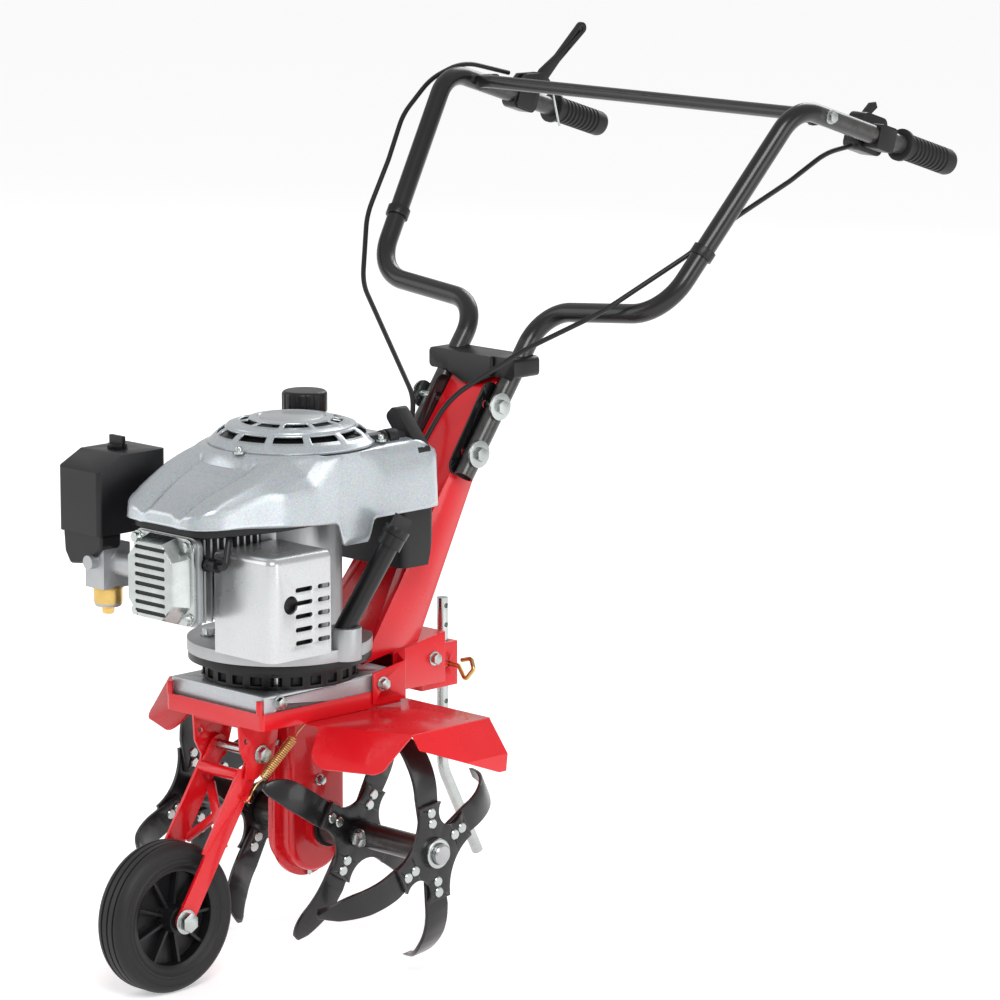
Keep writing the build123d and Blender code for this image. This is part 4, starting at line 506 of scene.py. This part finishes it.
def plate(name, outline, normal, thickness, slot_name, body, bevel=0.0):
    """Flat piece with the outline given as points of the row frame, thickened along normal."""
    depth = Vector(normal).normalized() * thickness * MM
    count = len(outline)
    verts = [Vector(p) for p in outline] + [Vector(p) + depth for p in outline]
    faces = [list(range(count))[::-1], list(range(count, 2 * count))]
    for k in range(count):
        n = (k + 1) % count
        faces.append((k, n, n + count, k + count))
    made = mesh_piece(name, verts, faces, slot_name, body)
    if bevel:
        rounding = made.modifiers.new("bevel", "BEVEL")
        rounding.width = bevel * MM
        rounding.segments = 4
        rounding.limit_method = "ANGLE"
        rounding.harden_normals = True
    return made


def slot_outline(x, z, length, width, y):
    """Round-ended slot in a plane across Y."""
    points = []
    for side, start in ((1, -90), (-1, 90)):
        for k in range(9):
            a = math.radians(start + 180 * k / 8)
            points.append(at(x + side * (length - width) / 2 + width / 2 * math.cos(a),
                             y, z + width / 2 * math.sin(a)))
    return points


FACE_Y = -186.0 - 22.0
ROCKER_Z = 412.0
SLOT_PITCH = 9.0
SLOTS = 8
for k in range(SLOTS):
    z = ROCKER_Z + SLOT_PITCH * (k - (SLOTS - 1) / 2)
    plate("rocker_slot_%d" % k, slot_outline(0, z, 43.9, 3.9, FACE_Y + 1.6),
          (0, 1, 0), 4.0, "case_black", "chassis")
BOWL = at(-110, -168, 0)
turned("bowl", BOWL, (0, 0, -1),
       ((0, -386), (15, -386), (15.4, -385), (15.4, -383.5), (14.5, -383), (14.4, -370), (12.6, -365.5), (8, -364.2),
        (0, -364.2)), "brass", "chassis", 48)
turned("bowl_nut", BOWL, (0, 0, -1),
       ((0, -365), (6, -365), (6.2, -364), (6.2, -360), (5.4, -357.6), (0, -357.6)),
       "brass", "chassis", 6, sharp=20)
INTAKE = ((-152, 441), (-93, 441), (-93, 428), (-104, 418), (-126, 408), (-142, 406), (-150, 418))
plate("intake_elbow", [at(x, -190, z) for x, z in INTAKE], (0, 1, 0),
      26, "cover_plastic", "chassis", bevel=3.0)

# ======================= tyre =======================
WHEEL = at(0, -194, 75)
rib = []
TREAD_BANDS = (-8, 0, 8)
side_profile = ((52.8, -16), (56, -17.2), (57, -18.6), (59, -18.6), (60, -17.8),
                (66, -18.2), (67, -19), (69, -18.6),
                (71, -17.4), (73, -15), (74.4, -12))
for r, x in side_profile:
    rib.append((r, x))
for x0 in TREAD_BANDS:
    rib += [(74.9, x0 - 1.7), (74.9, x0 - 1.2), (73.3, x0 - 0.7),
            (73.3, x0 + 0.7), (74.9, x0 + 1.2), (74.9, x0 + 1.7)]
for r, x in reversed(side_profile):
    rib.append((r, -x))
rib.append((52.8, -16))
tyre = turned("tyre_body", WHEEL, (1, 0, 0), rib, "tyre", "wheel", 128, sharp=38)
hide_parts("wheel_tyre")

# ======================= hand grips =======================
GRIP_END = (252.0, 672.0, 764.8)
TOP_BEND = (252.0, 437.0, 841.0)
GRIP_RIBS = 9
RIB_PITCH = 6.2
for side, tag in ((1, "left"), (-1, "right")):
    end = at(side * GRIP_END[0], GRIP_END[1], GRIP_END[2])
    top = at(side * TOP_BEND[0], TOP_BEND[1], TOP_BEND[2])
    inward = (top - end).normalized()
    profile = [(0, -2.6), (6, -2.4), (10.5, -1.4), (13, 0.6), (13.9, 3.5), (13.9, 12)]
    for k in range(GRIP_RIBS):
        s = 13.5 + k * RIB_PITCH
        profile += [(13.9, s), (13.9, s + 2.4), (12.6, s + 3.0), (12.6, s + 5.4), (13.9, s + 6.0)]
    profile += [(13.9, 70), (13.4, 73), (13.6, 75), (16.8, 77),
                (16.9, 80.5), (15.5, 81.3), (10.1, 81.3), (10.1, 70)]
    grip = turned("grip_" + tag, end, inward, profile, "grip", "chassis", 64, sharp=32)
    if side > 0:
        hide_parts("handle_grips")

# ======================= latch spring =======================
arm = Vector((0, 97.0, 152.0)).normalized()
PEG_ALONG = 134.0        # from the wheel's bolt up the fork's arm to the spring's peg
PEG_PROUD = 4.0
peg = at(36, -194, 75) + Vector((0, arm.y * PEG_ALONG + arm.z * PEG_PROUD,
                                 arm.z * PEG_ALONG - arm.y * PEG_PROUD)) * MM
hook_top = at(54, -52, 258)
line = hook_top - peg
u, v, w = basis(line)
coil = []
length = line.length
TURNS_OF_SPRING = 22
COIL_R = 3.9
SPRING_WIRE = 0.85       # radius
POINTS_A_TURN = 14
for k in range(TURNS_OF_SPRING * POINTS_A_TURN + 1):
    t = k / (TURNS_OF_SPRING * POINTS_A_TURN)
    a = 2 * math.pi * k / POINTS_A_TURN
    coil.append(peg + w * length * (0.26 + 0.5 * t) + (u * math.cos(a) + v * math.sin(a)) * COIL_R * MM)
lower_hook = [peg - w * 3.2 * MM, peg + u * 3.4 * MM,
              peg + w * length * 0.12, peg + w * length * 0.22, coil[0]]
upper_hook = [coil[-1], peg + w * length * 0.8, peg + w * length * 0.92, peg + w * length * 0.985]
spring = wire("latch_spring", coil, SPRING_WIRE, "yellow_zinc", "fork", smooth=False)
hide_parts("fork_spring")
wire("latch_spring_low", lower_hook, SPRING_WIRE, "yellow_zinc", "fork")
wire("latch_spring_high", upper_hook, SPRING_WIRE, "yellow_zinc", "fork")

# ======================= stage, light and camera =======================
floor_mat, tree, bsdf = new_material("floor_pale")
speck = node(tree, "ShaderNodeTexNoise", Scale=3.0, Detail=4.0)
pale = tree.nodes.new("ShaderNodeValToRGB")
pale.color_ramp.elements[0].color = (0.86, 0.86, 0.86, 1)
pale.color_ramp.elements[1].color = (0.9, 0.9, 0.9, 1)
tree.links.new(speck.outputs["Fac"], pale.inputs["Fac"])
tree.links.new(pale.outputs["Color"], bsdf.inputs["Base Color"])
bsdf.inputs["Roughness"].default_value = 0.9
bsdf.inputs["Specular IOR Level"].default_value = 0.1
bsdf.inputs["Emission Color"].default_value = (1, 1, 1, 1)
bsdf.inputs["Emission Strength"].default_value = 0.4
floor_mesh = bpy.data.meshes.new("floor")
floor_mesh.from_pydata([(-40, -40, 0), (40, -40, 0), (40, 40, 0), (-40, 40, 0)], [], [(0, 1, 2, 3)])
floor = bpy.data.objects.new("floor", floor_mesh)
floor_mesh.materials.append(floor_mat)
bpy.context.scene.collection.objects.link(floor)

world = bpy.data.worlds.new("studio")
bpy.context.scene.world = world
world.use_nodes = True
sky = world.node_tree.nodes["Background"]
sky.inputs["Color"].default_value = (1, 1, 1, 1)
sky.inputs["Strength"].default_value = 0.62

centre = Vector((0, -0.05, 0.4))
for name, spot, size, power in (
    ("key", (2.6, -2.2, 3.2), 1.8, 95),
    ("fill", (-3.0, -3.0, 1.8), 2.6, 34),
    ("rim", (-1.2, 3.2, 2.8), 2.2, 60),
    ("low_left", (3.4, 0.6, 0.9), 1.6, 22),
):
    lamp = bpy.data.lights.new(name, "AREA")
    lamp.shape = "SQUARE"
    lamp.size = size
    lamp.energy = power
    holder = bpy.data.objects.new(name, lamp)
    holder.location = spot
    holder.rotation_mode = "QUATERNION"
    holder.rotation_quaternion = (centre - Vector(spot)).to_track_quat("-Z", "Y")
    bpy.context.scene.collection.objects.link(holder)

camera = bpy.data.cameras.new("camera")
camera.lens = 177.19
camera.sensor_width = 36.0
camera.clip_end = 100.0
eye = bpy.data.objects.new("camera", camera)
azimuth, elevation = math.radians(45.3238), math.radians(10.7546)
back = Vector((math.sin(azimuth) * math.cos(elevation), -math.cos(azimuth) * math.cos(elevation),
               math.sin(elevation)))
eye.location = at(3543.57, -3236.74, 1374.41)
eye.rotation_mode = "QUATERNION"
eye.rotation_quaternion = (-back).to_track_quat("-Z", "Y")
bpy.context.scene.collection.objects.link(eye)
bpy.context.scene.camera = eye
bpy.context.scene.view_settings.view_transform = "Standard"
